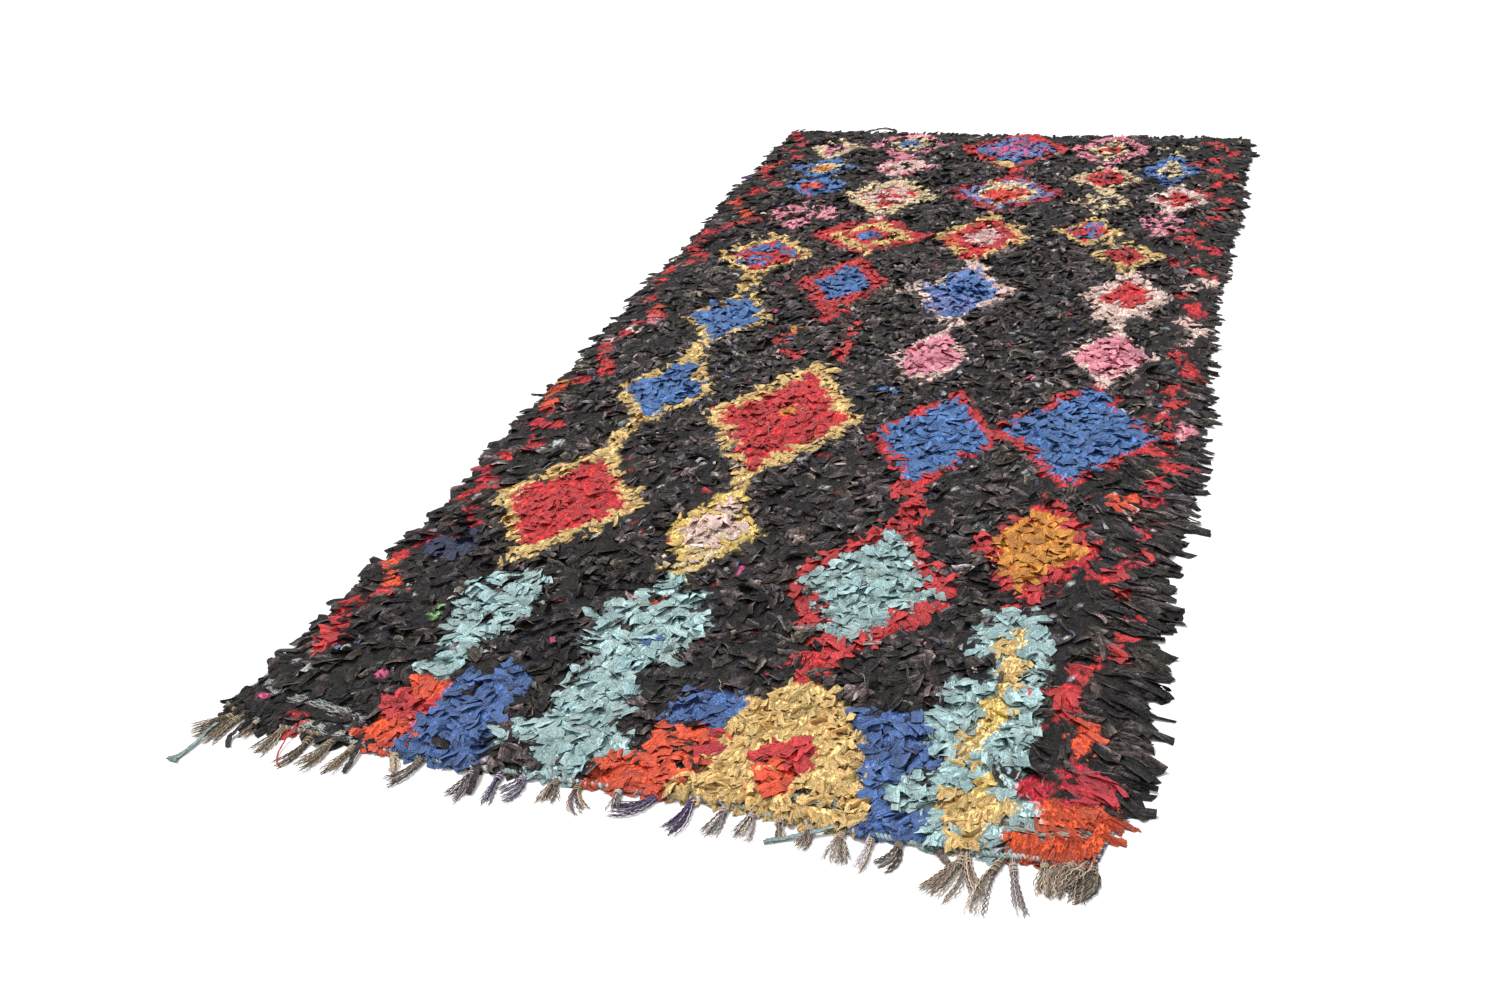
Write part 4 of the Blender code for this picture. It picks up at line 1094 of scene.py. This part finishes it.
# --------------------------------------------------------------- ground weave
def ground_weave():
    """The flat woven ground, one closed cloth 4 mm thick."""
    nu, nv = 44, 96
    u = np.linspace(0, 1, nu)[None, :]
    v = np.linspace(0, 1, nv)[:, None]
    x = 1.5 * u + 0 * v
    for _ in range(3):
        y = along(FRONT_EDGE, x) + v * (along(BACK_EDGE, x) - along(FRONT_EDGE, x))
        x = along(LEFT_EDGE, y) + u * (along(RIGHT_EDGE, y) - along(LEFT_EDGE, y))
    swell = 0.0045 + 0.0006 * np.sin(61 * x + 17 * y) + 0.0005 * np.sin(43 * y - 23 * x)
    top = np.stack([x, y, swell], -1).reshape(-1, 3)
    low = np.stack([x, y, np.full_like(x, 0.0006)], -1).reshape(-1, 3)
    pts = np.concatenate([top, low])
    pts[:, 0] -= CENTRE[0]
    pts[:, 1] -= CENTRE[1]
    n = nu * nv
    i = np.arange(nv - 1)[:, None] * nu + np.arange(nu - 1)[None, :]
    faces = np.stack([i, i + 1, i + nu + 1, i + nu], -1).reshape(-1, 4)
    under = faces[:, ::-1] + n
    ring = np.concatenate(
        [np.arange(nu), np.arange(1, nv) * nu + nu - 1, (nv - 1) * nu + np.arange(nu - 2, -1, -1), np.arange(nv - 2, 0, -1) * nu]
    )
    nxt = np.roll(ring, -1)
    walls = np.stack([ring, ring + n, nxt + n, nxt], -1)
    mesh = new_mesh("ground_weave", pts, np.concatenate([faces, under, walls]))
    return add_object("ground_weave", mesh, weave_look)


weave = ground_weave()

# -------------------------------------------------------------- the rag pile
groups, (knot_x, knot_y) = lay_pile()


def knot_bed():
    """The crowded knots under the strips: a lumpy bed in each knot's colour, the dark knots darkened further with
    painted shade.
    """
    rows, per_row = knot_x.shape[0] - 1, knot_x.shape[1]
    nu, nv = 150, 270
    u = np.linspace(0, 1, nu)[None, :]
    v = np.linspace(0, 1, nv)[:, None]
    x = 1.5 * u + 0 * v
    for _ in range(3):
        y = along(FRONT_EDGE, x) + v * (along(BACK_EDGE, x) - along(FRONT_EDGE, x))
        x = along(LEFT_EDGE, y) + 0.004 + u * (along(RIGHT_EDGE, y) - along(LEFT_EDGE, y) - 0.008)
    j = np.clip((v * rows).astype(int), 0, rows - 1) + 0 * x.astype(int)
    i = np.clip((u * per_row).astype(int), 0, per_row - 1) + 0 * x.astype(int)
    knot = j * per_row + i
    code, _ = pattern(x.ravel(), y.ravel() - 0.006, knot.ravel(), rows * per_row)
    code = code.reshape(x.shape)
    bump = 0.5 + 0.28 * np.sin(211 * x + 5 * np.sin(97 * y)) * np.sin(183 * y + 4 * np.sin(119 * x)) + 0.22 * np.sin(393 * x - 271 * y)
    edge = ease(inside(x, y) / 0.018)
    z = (0.0035 + (0.0045 + 0.0045 * bump + rng.normal(0, 0.0006, x.shape)) * edge)
    pts = np.stack([x - CENTRE[0], y - CENTRE[1], np.maximum(z, 0.0015)], -1).reshape(-1, 3)
    k = np.arange(nv - 1)[:, None] * nu + np.arange(nu - 1)[None, :]
    quads = np.stack([k, k + 1, k + nu + 1, k + nu], -1).reshape(-1, 4)
    bare = (near_bare(x, y) < 0.012).ravel()
    quads = quads[~bare[quads].any(1)]
    used = np.unique(quads)
    to = np.full(len(pts), -1)
    to[used] = np.arange(len(used))
    mesh = new_mesh("knot_bed", pts[used], to[quads])
    # painted shade: the dark knots at the bottom of the pile are painted at about a third of their colour, for the
    # shade under the strips
    tone = LINEAR[code] * np.where(np.isin(code, DARKS), 0.35, 1.0)[..., None]
    peek = (rng.random(code.shape) < 0.022) & np.isin(code, DARKS)
    odd = np.array([CODE[n] for n in ("white", "lilac", "crimson", "steel", "navy", "white")])
    tone[peek] = LINEAR[odd[rng.integers(0, len(odd), peek.sum())]] * 0.7
    paint(mesh, "rag", tone.reshape(-1, 3)[used])
    uv = np.stack([x, y], -1).reshape(-1, 2)[used]
    map_corners(mesh, "cloth", uv, to[quads])
    flat = np.stack([0.02 + 0.96 * (u + 0 * v), 0.02 + 0.96 * (v + 0 * u)], -1).reshape(-1, 2)[used]
    map_corners(mesh, "OFBake", flat, to[quads])
    return add_object("knot_bed", mesh, looks["pile_dark"])


bed = knot_bed()
piles = [bed]
mids = [g["points"][:, 0, 0, 1] for g in groups]
families = [np.array([CODE[m] for m in members]) for members in FAMILIES.values()]
for name, members in zip(FAMILIES, families):
    picks = [np.flatnonzero(np.isin(g["code"], members)) for g in groups]
    piles.append(strip_mesh(name, groups, picks, looks[name]))
for name, lo, hi in (("pile_dark_front", -1, 0.85), ("pile_dark_middle", 0.85, 1.75), ("pile_dark_back", 1.75, 9)):
    picks = [np.flatnonzero(np.isin(g["code"], DARKS) & (y >= lo) & (y < hi)) for g, y in zip(groups, mids)]
    piles.append(strip_mesh(name, groups, picks, looks["pile_dark"]))


# -------------------------------------------------------------------- fringe
# The knotted warp ends, as in the solids, with each one's yarns, how far it
# bows to a side (metres) and how far its end curls round (radians).
TASSELS = (
    # root_x  tip_x  reach  width  yarns                                strands bow     curl
    (0.022, -0.034, 0.062, 0.040, ("tan", "olive", "brown", "umber"), 34, 0.08, 0.0),
    (0.036, 0.006, 0.084, 0.030, ("olive", "tan", "tan"), 26, -0.06, 0.0),
    (0.070, 0.060, 0.044, 0.020, ("tan", "brown"), 16, 0.1, 0.0),
    (0.126, 0.110, 0.066, 0.032, ("brown", "tan", "olive"), 30, 0.1, 0.0),
    (0.186, 0.164, 0.088, 0.023, ("olive", "tan", "umber"), 24, 0.16, 0.0),
    (0.228, 0.202, 0.082, 0.031, ("olive", "tan", "brown"), 32, 0.16, 0.0),
    (0.274, 0.258, 0.078, 0.030, ("tan", "brown", "olive", "tan"), 30, 0.06, 0.0),
    (0.350, 0.374, 0.038, 0.016, ("tan", "tan", "brown"), 14, 0.0, 0.0),
    (0.404, 0.368, 0.070, 0.024, ("brown", "umber", "lilac"), 22, 0.2, 0.0),
    (0.502, 0.490, 0.080, 0.028, ("lilac", "umber", "lilac", "brown", "plum"), 28, 0.1, 0.0),
    (0.550, 0.548, 0.074, 0.020, ("lilac", "plum", "lilac"), 20, 0.0, 0.2),
    (0.590, 0.586, 0.052, 0.034, ("plum", "lilac", "white", "plum"), 30, 0.0, -0.8),
    (0.644, 0.648, 0.052, 0.034, ("umber", "brown", "gold", "plum", "tan"), 32, 0.0, 0.0),
    (0.684, 0.700, 0.064, 0.026, ("umber", "gold", "lilac", "plum"), 26, -0.1, 0.5),
    (0.752, 0.754, 0.044, 0.022, ("tan", "lilac", "umber"), 18, 0.0, 0.2),
    (0.818, 0.756, 0.050, 0.030, ("plum", "purple", "plum", "lilac"), 34, 0.22, -0.35),
    (0.872, 0.856, 0.080, 0.030, ("purple", "plum", "plum", "lilac"), 28, 0.14, 0.0),
    (0.928, 0.914, 0.074, 0.026, ("lilac", "brown", "lilac", "tan"), 26, 0.1, 0.0),
    (0.974, 0.966, 0.060, 0.032, ("brown", "lilac", "tan"), 28, 0.0, 0.0),
    (1.016, 1.026, 0.044, 0.020, ("lilac", "brown"), 16, 0.0, 0.2),
    (1.066, 1.068, 0.050, 0.022, ("brown", "tan"), 20, 0.0, -0.3),
    (1.114, 1.116, 0.066, 0.038, ("tan", "brown", "lilac", "tan"), 36, 0.0, 0.2),
    (1.158, 1.154, 0.076, 0.018, ("tan", "lilac"), 14, 0.1, 0.0),
    (1.200, 1.206, 0.058, 0.028, ("umber", "brown", "umber"), 26, 0.0, -0.9),
    (1.296, 1.266, 0.098, 0.044, ("tan", "tan", "brown"), 44, 0.14, 0.0),
    (1.300, 1.334, 0.082, 0.026, ("olive", "tan", "brown"), 26, -0.12, 0.0),
    (1.356, 1.336, 0.126, 0.026, ("brown", "tan", "lilac"), 24, -0.16, 0.0),
    (1.364, 1.400, 0.112, 0.016, ("lilac", "tan", "brown"), 16, -0.06, 0.0),
    (1.410, 1.414, 0.066, 0.024, ("brown", "tan"), 28, 0.0, 0.1),
    (1.464, 1.434, 0.084, 0.050, ("tan", "brown", "tan"), 52, -0.46, 0.0),
    (1.476, 1.444, 0.066, 0.048, ("tan", "brown", "umber"), 48, 0.34, 0.0),
    (1.468, 1.446, 0.076, 0.056, ("brown", "tan", "umber"), 40, -0.08, 0.0),
)
CORD_DEPTH = 0.012


def tassel_strands(row):
    """The crinkled yarns of one knotted end, and the turns round its neck."""
    root_x, tip_x, reach, width, yarns, count, bow, curl = row
    y0 = float(along(FRONT_EDGE, root_x)) - CORD_DEPTH * 0.45
    y1 = float(along(FRONT_EDGE, root_x)) - CORD_DEPTH - reach
    size = math.hypot(tip_x - root_x, y1 - y0) * (1 + 0.10 * abs(curl))
    k = max(int(size / 0.0027), 14)
    t = np.linspace(0, 1, k)
    count = int(count * 0.86)
    way = math.atan2(y1 - y0, tip_x - root_x) + 1.6 * bow * np.cos(math.pi * t) + curl * ease((t - 0.20) / 0.80)
    cx = root_x + np.concatenate([[0], np.cumsum(np.cos(way[1:]))]) * size / (k - 1)
    cy = y0 + np.concatenate([[0], np.cumsum(np.sin(way[1:]))]) * size / (k - 1)
    last = rng.uniform(0.74, 1.0, count)
    s = t[None, :] * last[:, None]
    x, y = np.interp(s, t, cx), np.interp(s, t, cy)
    turn = np.interp(s, t, way)
    half = np.interp(s, [0, 0.12, 0.22, 0.34, 0.60, 0.85, 1.0], [0.0045, 0.0050, 0.0055, 0.30 * width, 0.52 * width, 0.60 * width, 0.62 * width])
    high = np.interp(s, [0, 0.12, 0.22, 0.34, 0.6, 1.0], [0.0075, 0.0105, 0.0105, 0.0100, 0.0080, 0.0050])
    rad, phi = rng.random(count) ** 0.42, rng.uniform(0, 2 * math.pi, count)
    loose = ease((s - 0.18) / 0.2) * rng.uniform(0.6, 1.4, count)[:, None] * 0.0010
    wave = 2 * math.pi * s * size / rng.uniform(0.0105, 0.0118, count)[:, None]
    start = rng.normal(0, 0.7, count)[:, None]
    stray = rng.normal(0, 0.10, count)[:, None] * np.clip(s - 0.45, 0, 1) ** 1.4 * width * 2.2
    lateral = (rad * np.cos(phi))[:, None] * half + loose * np.sin(wave + start) + stray
    z = (0.5 + 0.5 * rad * np.sin(phi))[:, None] * high + 0.25 * loose * np.cos(wave * 0.97 + 2.0 * start)
    x, y = x - np.sin(turn) * lateral, y + np.cos(turn) * lateral
    radius = rng.uniform(0.0007, 0.0011, count)[:, None] * np.interp(t, [0, 0.92, 1], [1, 1, 0.4])[None, :]
    z = np.maximum(z, radius + 0.0002)
    colour = LINEAR[[CODE[yarns[rng.integers(0, len(yarns))]] for _ in range(count)]]
    colour = np.minimum(colour * np.where(rng.random((count, 1)) < 0.45, 0.42, 1.15) * np.exp(rng.normal(0, 0.16, (count, 1))), 0.9)
    # the knot: turns of yarn round the neck
    a = 2 * math.pi * 2.6 * np.linspace(0, 1, 22)
    wraps, wrap_colour = [], []
    for lap in range(2):
        turns = a + rng.uniform(0, 6.28)
        at = np.interp(np.linspace(0.13, 0.30, 22) + 0.02 * lap, t, np.arange(k))
        low = np.clip(at.astype(int), 0, k - 2)
        f = at - low
        kx, ky, kw = (v[low] * (1 - f) + v[low + 1] * f for v in (cx, cy, way))
        r = 0.0056 + 0.0006 * np.sin(turns * 2.3 + lap)
        lat, kz = r * np.cos(turns), 0.0058 + 0.0046 * np.sin(turns)
        wraps.append(np.stack([kx - np.sin(kw) * lat, ky + np.cos(kw) * lat, np.maximum(kz, 0.0014)], -1))
        wrap_colour.append(LINEAR[CODE[yarns[lap % len(yarns)]]] * 0.9)
    return np.stack([x, y, z], -1), radius, colour, np.stack(wraps), np.array(wrap_colour)


def tube_piece(name, sets, look):
    """Joins batches of tubes: each is (paths, radius, colours, sides)."""
    all_pts, all_quads, all_col, all_uv, all_cell, start, count = [], [], [], [], [], 0, 0
    for paths, radius, colour, sides in sets:
        pts, quads, (n, k, m) = tubes(paths, radius, sides)
        all_pts.append(pts)
        all_quads.append(quads + start)
        all_col.append(np.repeat(colour, k * m, axis=0))
        run = np.concatenate([np.zeros((n, 1)), np.cumsum(np.linalg.norm(np.diff(paths, axis=1), axis=2), 1)], 1)
        v = np.repeat(run[:, :, None], m, 2)
        u = np.broadcast_to(np.arange(m)[None, None, :] / m * 0.006, v.shape)
        all_uv.append(np.stack([u, v], -1).reshape(-1, 2))
        a = np.broadcast_to((np.arange(m)[None, None, :] + 0.5) / (m + 1), v.shape)
        b = np.broadcast_to(np.linspace(0.05, 0.95, k)[None, :, None], v.shape)
        index = np.broadcast_to((count + np.arange(n))[:, None, None], v.shape)
        all_cell.append(np.stack([a, b, index], -1).reshape(-1, 3))
        start += len(pts)
        count += n
    pts = np.concatenate(all_pts)
    pts[:, 0] -= CENTRE[0]
    pts[:, 1] -= CENTRE[1]
    quads = np.concatenate(all_quads)
    mesh = new_mesh(name, pts, quads)
    paint(mesh, "rag", np.concatenate(all_col))
    map_corners(mesh, "cloth", np.concatenate(all_uv), quads)
    cell = np.concatenate(all_cell)
    grid = math.ceil(math.sqrt(count))
    place = np.stack([(cell[:, 2] % grid + cell[:, 0]) / grid, (cell[:, 2] // grid + cell[:, 1]) / grid], -1)
    map_corners(mesh, "OFBake", place, quads)
    return add_object(name, mesh, look)


def tassels():
    strands, knots_at = [], []
    for row in TASSELS:
        paths, radius, colour, wraps, wrap_colour = tassel_strands(row)
        strands.append((paths, radius, colour, 3))
        knots_at.append((wraps, np.full(wraps.shape[:2], 0.0013), wrap_colour, 4))
    return tube_piece("fringe_yarns", strands + knots_at, yarn_look)


def end_cord():
    """The twined cord along the front border: two strands round each other."""
    x0, x1 = float(along(LEFT_EDGE, 0.05)) + 0.004, 1.480
    turn = 0.0125
    k = int((x1 - x0) / turn * 9)
    x = np.linspace(x0, x1, k)
    y = along(FRONT_EDGE, x) - CORD_DEPTH * 0.5
    sets = []
    for lap in range(2):
        a = 2 * math.pi * (x - x0) / turn + math.pi * lap
        path = np.stack([x, y + 0.0030 * np.cos(a), 0.0046 + 0.0018 * np.sin(a)], -1)
        radius = 0.0026 + 0.0003 * np.sin(37 * x + lap)
        chunks = np.array_split(np.arange(k), 24)
        for c, idx in enumerate(chunks):
            idx = np.append(idx, min(idx[-1] + 1, k - 1)) if c < len(chunks) - 1 else idx
            names = ("umber", "brown", "umber", "olive", "umber", "steel") if c < 4 else ("steel", "grey", "teal", "steel", "umber", "grey")
            colour = LINEAR[CODE[names[(c * 2 + lap * 3) % 6]]]
            sets.append((path[idx][None], radius[idx][None], colour[None] * rng.uniform(0.8, 1.1), 6))
    return tube_piece("end_cord", sets, yarn_look)


def wefts():
    """The wool wefts on the bare lines: a fluffy band of fine light yarns."""
    sets = []
    for n_line, line in enumerate(BARE):
        px = np.array([p[0] for p in line])
        py = np.array([p[1] for p in line])
        span = px[-1] - px[0]
        k = max(int(span / 0.0032), 12)
        count = (15, 15, 9, 7)[n_line]
        drift = np.interp(np.linspace(0, 1, k), np.linspace(0, 1, 7), rng.normal(0, 0.0022, 7))
        for strand in range(count):
            x = np.linspace(px[0] - 0.006, px[-1] + 0.006, k) + rng.normal(0, 0.0010, k)
            m = max(k // 2, 4)
            stray = np.interp(np.linspace(0, 1, k), np.linspace(0, 1, m), rng.normal(0, 0.0018, m))
            y = np.interp(x, px, py) - 0.009 + 0.0012 * strand + stray + drift
            swell = np.interp(np.linspace(0, 1, k), np.linspace(0, 1, m), rng.uniform(0, 0.0030, m))
            z = 0.0075 + swell + rng.normal(0, 0.0003, k)
            names = ("grey", "teal", "white", "umber", "tan", "teal", "lilac", "brown", "steel")
            colour = LINEAR[CODE[names[rng.integers(0, len(names))]]] * rng.uniform(0.7, 1.05)
            radius = 0.0010 * rng.uniform(0.8, 1.25, k)
            sets.append((np.stack([x, y, z], -1)[None], radius[None], colour[None], 4))
    return tube_piece("thick_wefts", sets, yarn_look)


def threads():
    """Loose threads that lie on the dark pile."""
    sets = []
    for _ in range(70):
        x, y = rng.uniform(0.06, 1.44), 0.06 + 2.4 * rng.random() ** 1.5
        k = 14
        size = rng.uniform(0.025, 0.075)
        way = rng.uniform(-math.pi, math.pi) + np.cumsum(rng.normal(0, 0.30, k))
        px, py = x + np.cumsum(np.cos(way)) * size / k, y + np.cumsum(np.sin(way)) * size / k
        z = height_map[cells_of(px, py)]
        z = np.minimum(np.convolve(np.pad(z, 1, mode="edge"), (0.25, 0.5, 0.25), "valid") + 0.0025, 0.036)
        names = ("white", "lilac", "pink", "grey", "tan", "white", "crimson", "violet")
        colour = LINEAR[CODE[names[rng.integers(0, len(names))]]] * rng.uniform(0.6, 1.0)
        sets.append((np.stack([px, py, z], -1)[None], np.full((1, k), rng.uniform(0.0004, 0.0008)), colour[None], 3))
    return tube_piece("loose_threads", sets, yarn_look)


fringe = tassels()
cord = end_cord()
bands = wefts()
piles.append(threads())


def ribbon(name, path, width, colour, look, curl=0.6, wrinkle=0.0012, steps=26, across=6, lift=0.0):
    """A rag or thread along a plan path with heights (x, y, z)."""
    path = np.array(path, float)
    t = np.linspace(0, len(path) - 1, steps)
    i = np.clip(t.astype(int), 0, len(path) - 2)
    f = (t - i)[:, None]
    p0 = path[np.clip(i - 1, 0, None)]
    p1, p2 = path[i], path[i + 1]
    p3 = path[np.clip(i + 2, None, len(path) - 1)]
    line = 0.5 * (2 * p1 + (p2 - p0) * f + (2 * p0 - 5 * p1 + 4 * p2 - p3) * f**2 + (3 * p1 - p0 - 3 * p2 + p3) * f**3)
    way = np.gradient(line, axis=0)
    way /= np.linalg.norm(way[:, :2], axis=1, keepdims=True) + 1e-9
    u = np.linspace(-1, 1, across)[None, :]
    wide = np.interp(np.linspace(0, 1, steps), np.linspace(0, 1, len(width)), width)[:, None]
    roll = curl * np.sin(np.linspace(0, 9, steps))[:, None]
    lat = 0.5 * wide * u * np.cos(roll)
    up = 0.5 * wide * np.abs(u) * np.abs(np.sin(roll)) + wrinkle * rng.normal(0, 1, (steps, across))
    x = line[:, 0][:, None] - way[:, 1][:, None] * lat
    y = line[:, 1][:, None] + way[:, 0][:, None] * lat
    z = np.maximum(line[:, 2][:, None] + up, 0.0008)
    thick = 0.0011
    top = np.stack([x, y, z + thick], -1).reshape(-1, 3)
    low = np.stack([x, y, z], -1).reshape(-1, 3)
    pts = np.concatenate([top, low])
    pts[:, 0] -= CENTRE[0]
    pts[:, 1] -= CENTRE[1]
    n = steps * across
    g = np.arange(steps - 1)[:, None] * across + np.arange(across - 1)[None, :]
    faces = np.stack([g, g + across, g + across + 1, g + 1], -1).reshape(-1, 4)
    ring = np.concatenate(
        [
            np.arange(across), np.arange(1, steps) * across + across - 1,
            (steps - 1) * across + np.arange(across - 2, -1, -1), np.arange(steps - 2, 0, -1) * across,
        ]
    )
    nxt = np.roll(ring, -1)
    quads = np.concatenate([faces, faces[:, ::-1] + n, np.stack([nxt, nxt + n, ring + n, ring], -1)])
    mesh = new_mesh(name, pts, quads)
    shade = np.exp(rng.normal(0, 0.08, (n, 1)))
    paint(mesh, "rag", np.concatenate([LINEAR[CODE[colour]] * shade] * 2))
    uv = np.stack([(0.5 * wide * u).ravel(), np.repeat(np.linspace(0, 0.12, steps), across)], -1)
    map_corners(mesh, "cloth", np.concatenate([uv, uv + 0.3]), quads)
    return add_object(name, mesh, look)


ribbons = [
    ribbon("corner_rag", ((0.006, -0.004, 0.010), (-0.002, -0.035, 0.006), (-0.008, -0.070, 0.002), (-0.016, -0.092, 0.001), (-0.018, -0.104, 0.001)), (0.006, 0.007, 0.008, 0.014, 0.026), "steel", looks["pile_teal"], 0.5, 0.0007),
    ribbon("dark_rag_a", ((0.060, 0.012, 0.012), (0.050, -0.015, 0.008), (0.046, -0.032, 0.003), (0.056, -0.050, 0.002)), (0.008, 0.009, 0.010), "dark", looks["pile_dark"]),
    ribbon("dark_rag_b", ((0.282, 0.004, 0.012), (0.288, -0.030, 0.006), (0.290, -0.066, 0.002)), (0.008, 0.010, 0.009), "dark", looks["pile_dark"]),
    ribbon("dark_rag_c", ((0.508, -0.010, 0.012), (0.515, -0.040, 0.006), (0.518, -0.068, 0.002)), (0.010, 0.012, 0.012), "dark", looks["pile_dark"]),
    ribbon("red_thread", ((0.150, 0.018, 0.014), (0.148, -0.010, 0.008), (0.152, -0.045, 0.003), (0.164, -0.068, 0.002), (0.176, -0.076, 0.002)), (0.003, 0.0025, 0.0025), "thread", looks["pile_red"], 0.3, 0.0003, 30, 4),
    ribbon("grey_rag", ((1.106, -0.016, 0.010), (1.070, -0.036, 0.006), (1.035, -0.052, 0.003), (1.006, -0.066, 0.002)), (0.007, 0.008, 0.008), "steel", looks["pile_teal"], 0.4, 0.0006),
    ribbon("brown_rag", ((1.248, -0.014, 0.010), (1.262, -0.034, 0.005), (1.282, -0.052, 0.002)), (0.010, 0.012, 0.009), "umber", looks["pile_dark"]),
    ribbon("tan_yarn", ((0.350, -0.004, 0.010), (0.358, -0.026, 0.006), (0.372, -0.048, 0.003)), (0.009, 0.010, 0.008), "tan", looks["pile_yellow"]),
]

LOOSE_END = ((0.252, 0.0), (0.262, 0.034), (0.284, 0.056), (0.312, 0.062), (0.338, 0.050), (0.352, 0.030))
back_y = float(along(BACK_EDGE, LOOSE_END[0][0]))
loose = ribbon(
    "loose_rag_end",
    [(x, back_y + y + 0.001, 0.004 if i == 0 else 0.0012) for i, (x, y) in enumerate(LOOSE_END)],
    (0.009, 0.009, 0.008, 0.009, 0.011, 0.013), "dark", looks["pile_dark"], 0.8, 0.0007, 44, 6,
)

# --------------------------------------------------------- riding, and the solids hidden
for piece in [weave, *piles]:
    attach(piece, "root")
for piece in [fringe, cord, bands, *ribbons]:
    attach(piece, "root")
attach(loose, "root")
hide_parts("rug_body")
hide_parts("warp_fringe")
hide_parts("loose_end")


# ------------------------------------------------------------ floor and lights
def paper():
    made = bpy.data.materials.new("floor_paper")
    made.use_nodes = True
    tree = made.node_tree
    shader = tree.nodes["Principled BSDF"]
    coords = node(tree, "ShaderNodeTexCoord", -900, 0)
    grain = node(tree, "ShaderNodeTexNoise", -700, 0, Scale=2.0, Detail=2.0)
    tree.links.new(coords.outputs["Object"], grain.inputs["Vector"])
    ramp = node(tree, "ShaderNodeMapRange", -500, 0)
    ramp.inputs["To Min"].default_value, ramp.inputs["To Max"].default_value = 0.90, 0.93
    tree.links.new(grain.outputs["Fac"], ramp.inputs["Value"])
    tree.links.new(ramp.outputs["Result"], shader.inputs["Base Color"])
    shader.inputs["Roughness"].default_value = 0.95
    shader.inputs["Specular IOR Level"].default_value = 0.0
    return made


def stage_piece(name, points, faces, look):
    mesh = bpy.data.meshes.new(name)
    mesh.from_pydata(points, [], faces)
    mesh.materials.append(look)
    made = bpy.data.objects.new(name, mesh)
    bpy.context.scene.collection.objects.link(made)
    return made


def floor_and_wall():
    """The floor, and far off a pale round wall, which the low views look at. It
    only shows, and gives the rug no light."""
    look = paper()
    r = 120.0
    stage_piece("floor", [(-r, -r, 0), (r, -r, 0), (r, r, 0), (-r, r, 0)], [(0, 1, 2, 3)], look)
    n, wall_r, tall = 96, 100.0, 70.0
    ring = [(wall_r * math.cos(2 * math.pi * i / n), wall_r * math.sin(2 * math.pi * i / n)) for i in range(n)]
    points = [(x, y, z) for z in (0.0, tall) for x, y in ring]
    faces = [((i + 1) % n, i, i + n, (i + 1) % n + n) for i in range(n)]
    wall = stage_piece("backdrop", points, faces, look)
    wall.data.shade_smooth()
    wall.visible_diffuse = False
    wall.visible_glossy = False
    wall.visible_shadow = False


floor_and_wall()


world = bpy.data.worlds.new("studio")
bpy.context.scene.world = world
world.use_nodes = True
sky = world.node_tree
way_up = node(sky, "ShaderNodeTexCoord", -900, 0)
parts = node(sky, "ShaderNodeSeparateXYZ", -700, 0)
sky.links.new(way_up.outputs["Generated"], parts.inputs["Vector"])
square = node(sky, "ShaderNodeMath", -500, 0, operation="POWER")
square.inputs[1].default_value = 2.0
square.use_clamp = True
sky.links.new(parts.outputs["Z"], square.inputs[0])
glow = node(sky, "ShaderNodeMapRange", -300, 0)
glow.inputs["To Min"].default_value, glow.inputs["To Max"].default_value = 0.14, 1.50
sky.links.new(square.outputs["Value"], glow.inputs["Value"])
sky.nodes["Background"].inputs["Color"].default_value = (1.0, 1.0, 1.0, 1.0)
sky.links.new(glow.outputs["Result"], sky.nodes["Background"].inputs["Strength"])
sun = bpy.data.lights.new("key", "SUN")
sun.energy, sun.angle = 2.2, math.radians(18)
key = bpy.data.objects.new("key", sun)
key.rotation_euler = Vector((0.42, -0.22, -1.0)).to_track_quat("-Z", "Y").to_euler()
bpy.context.scene.collection.objects.link(key)
bpy.context.scene.view_settings.view_transform = "Standard"
bpy.context.scene.view_settings.look = "None"
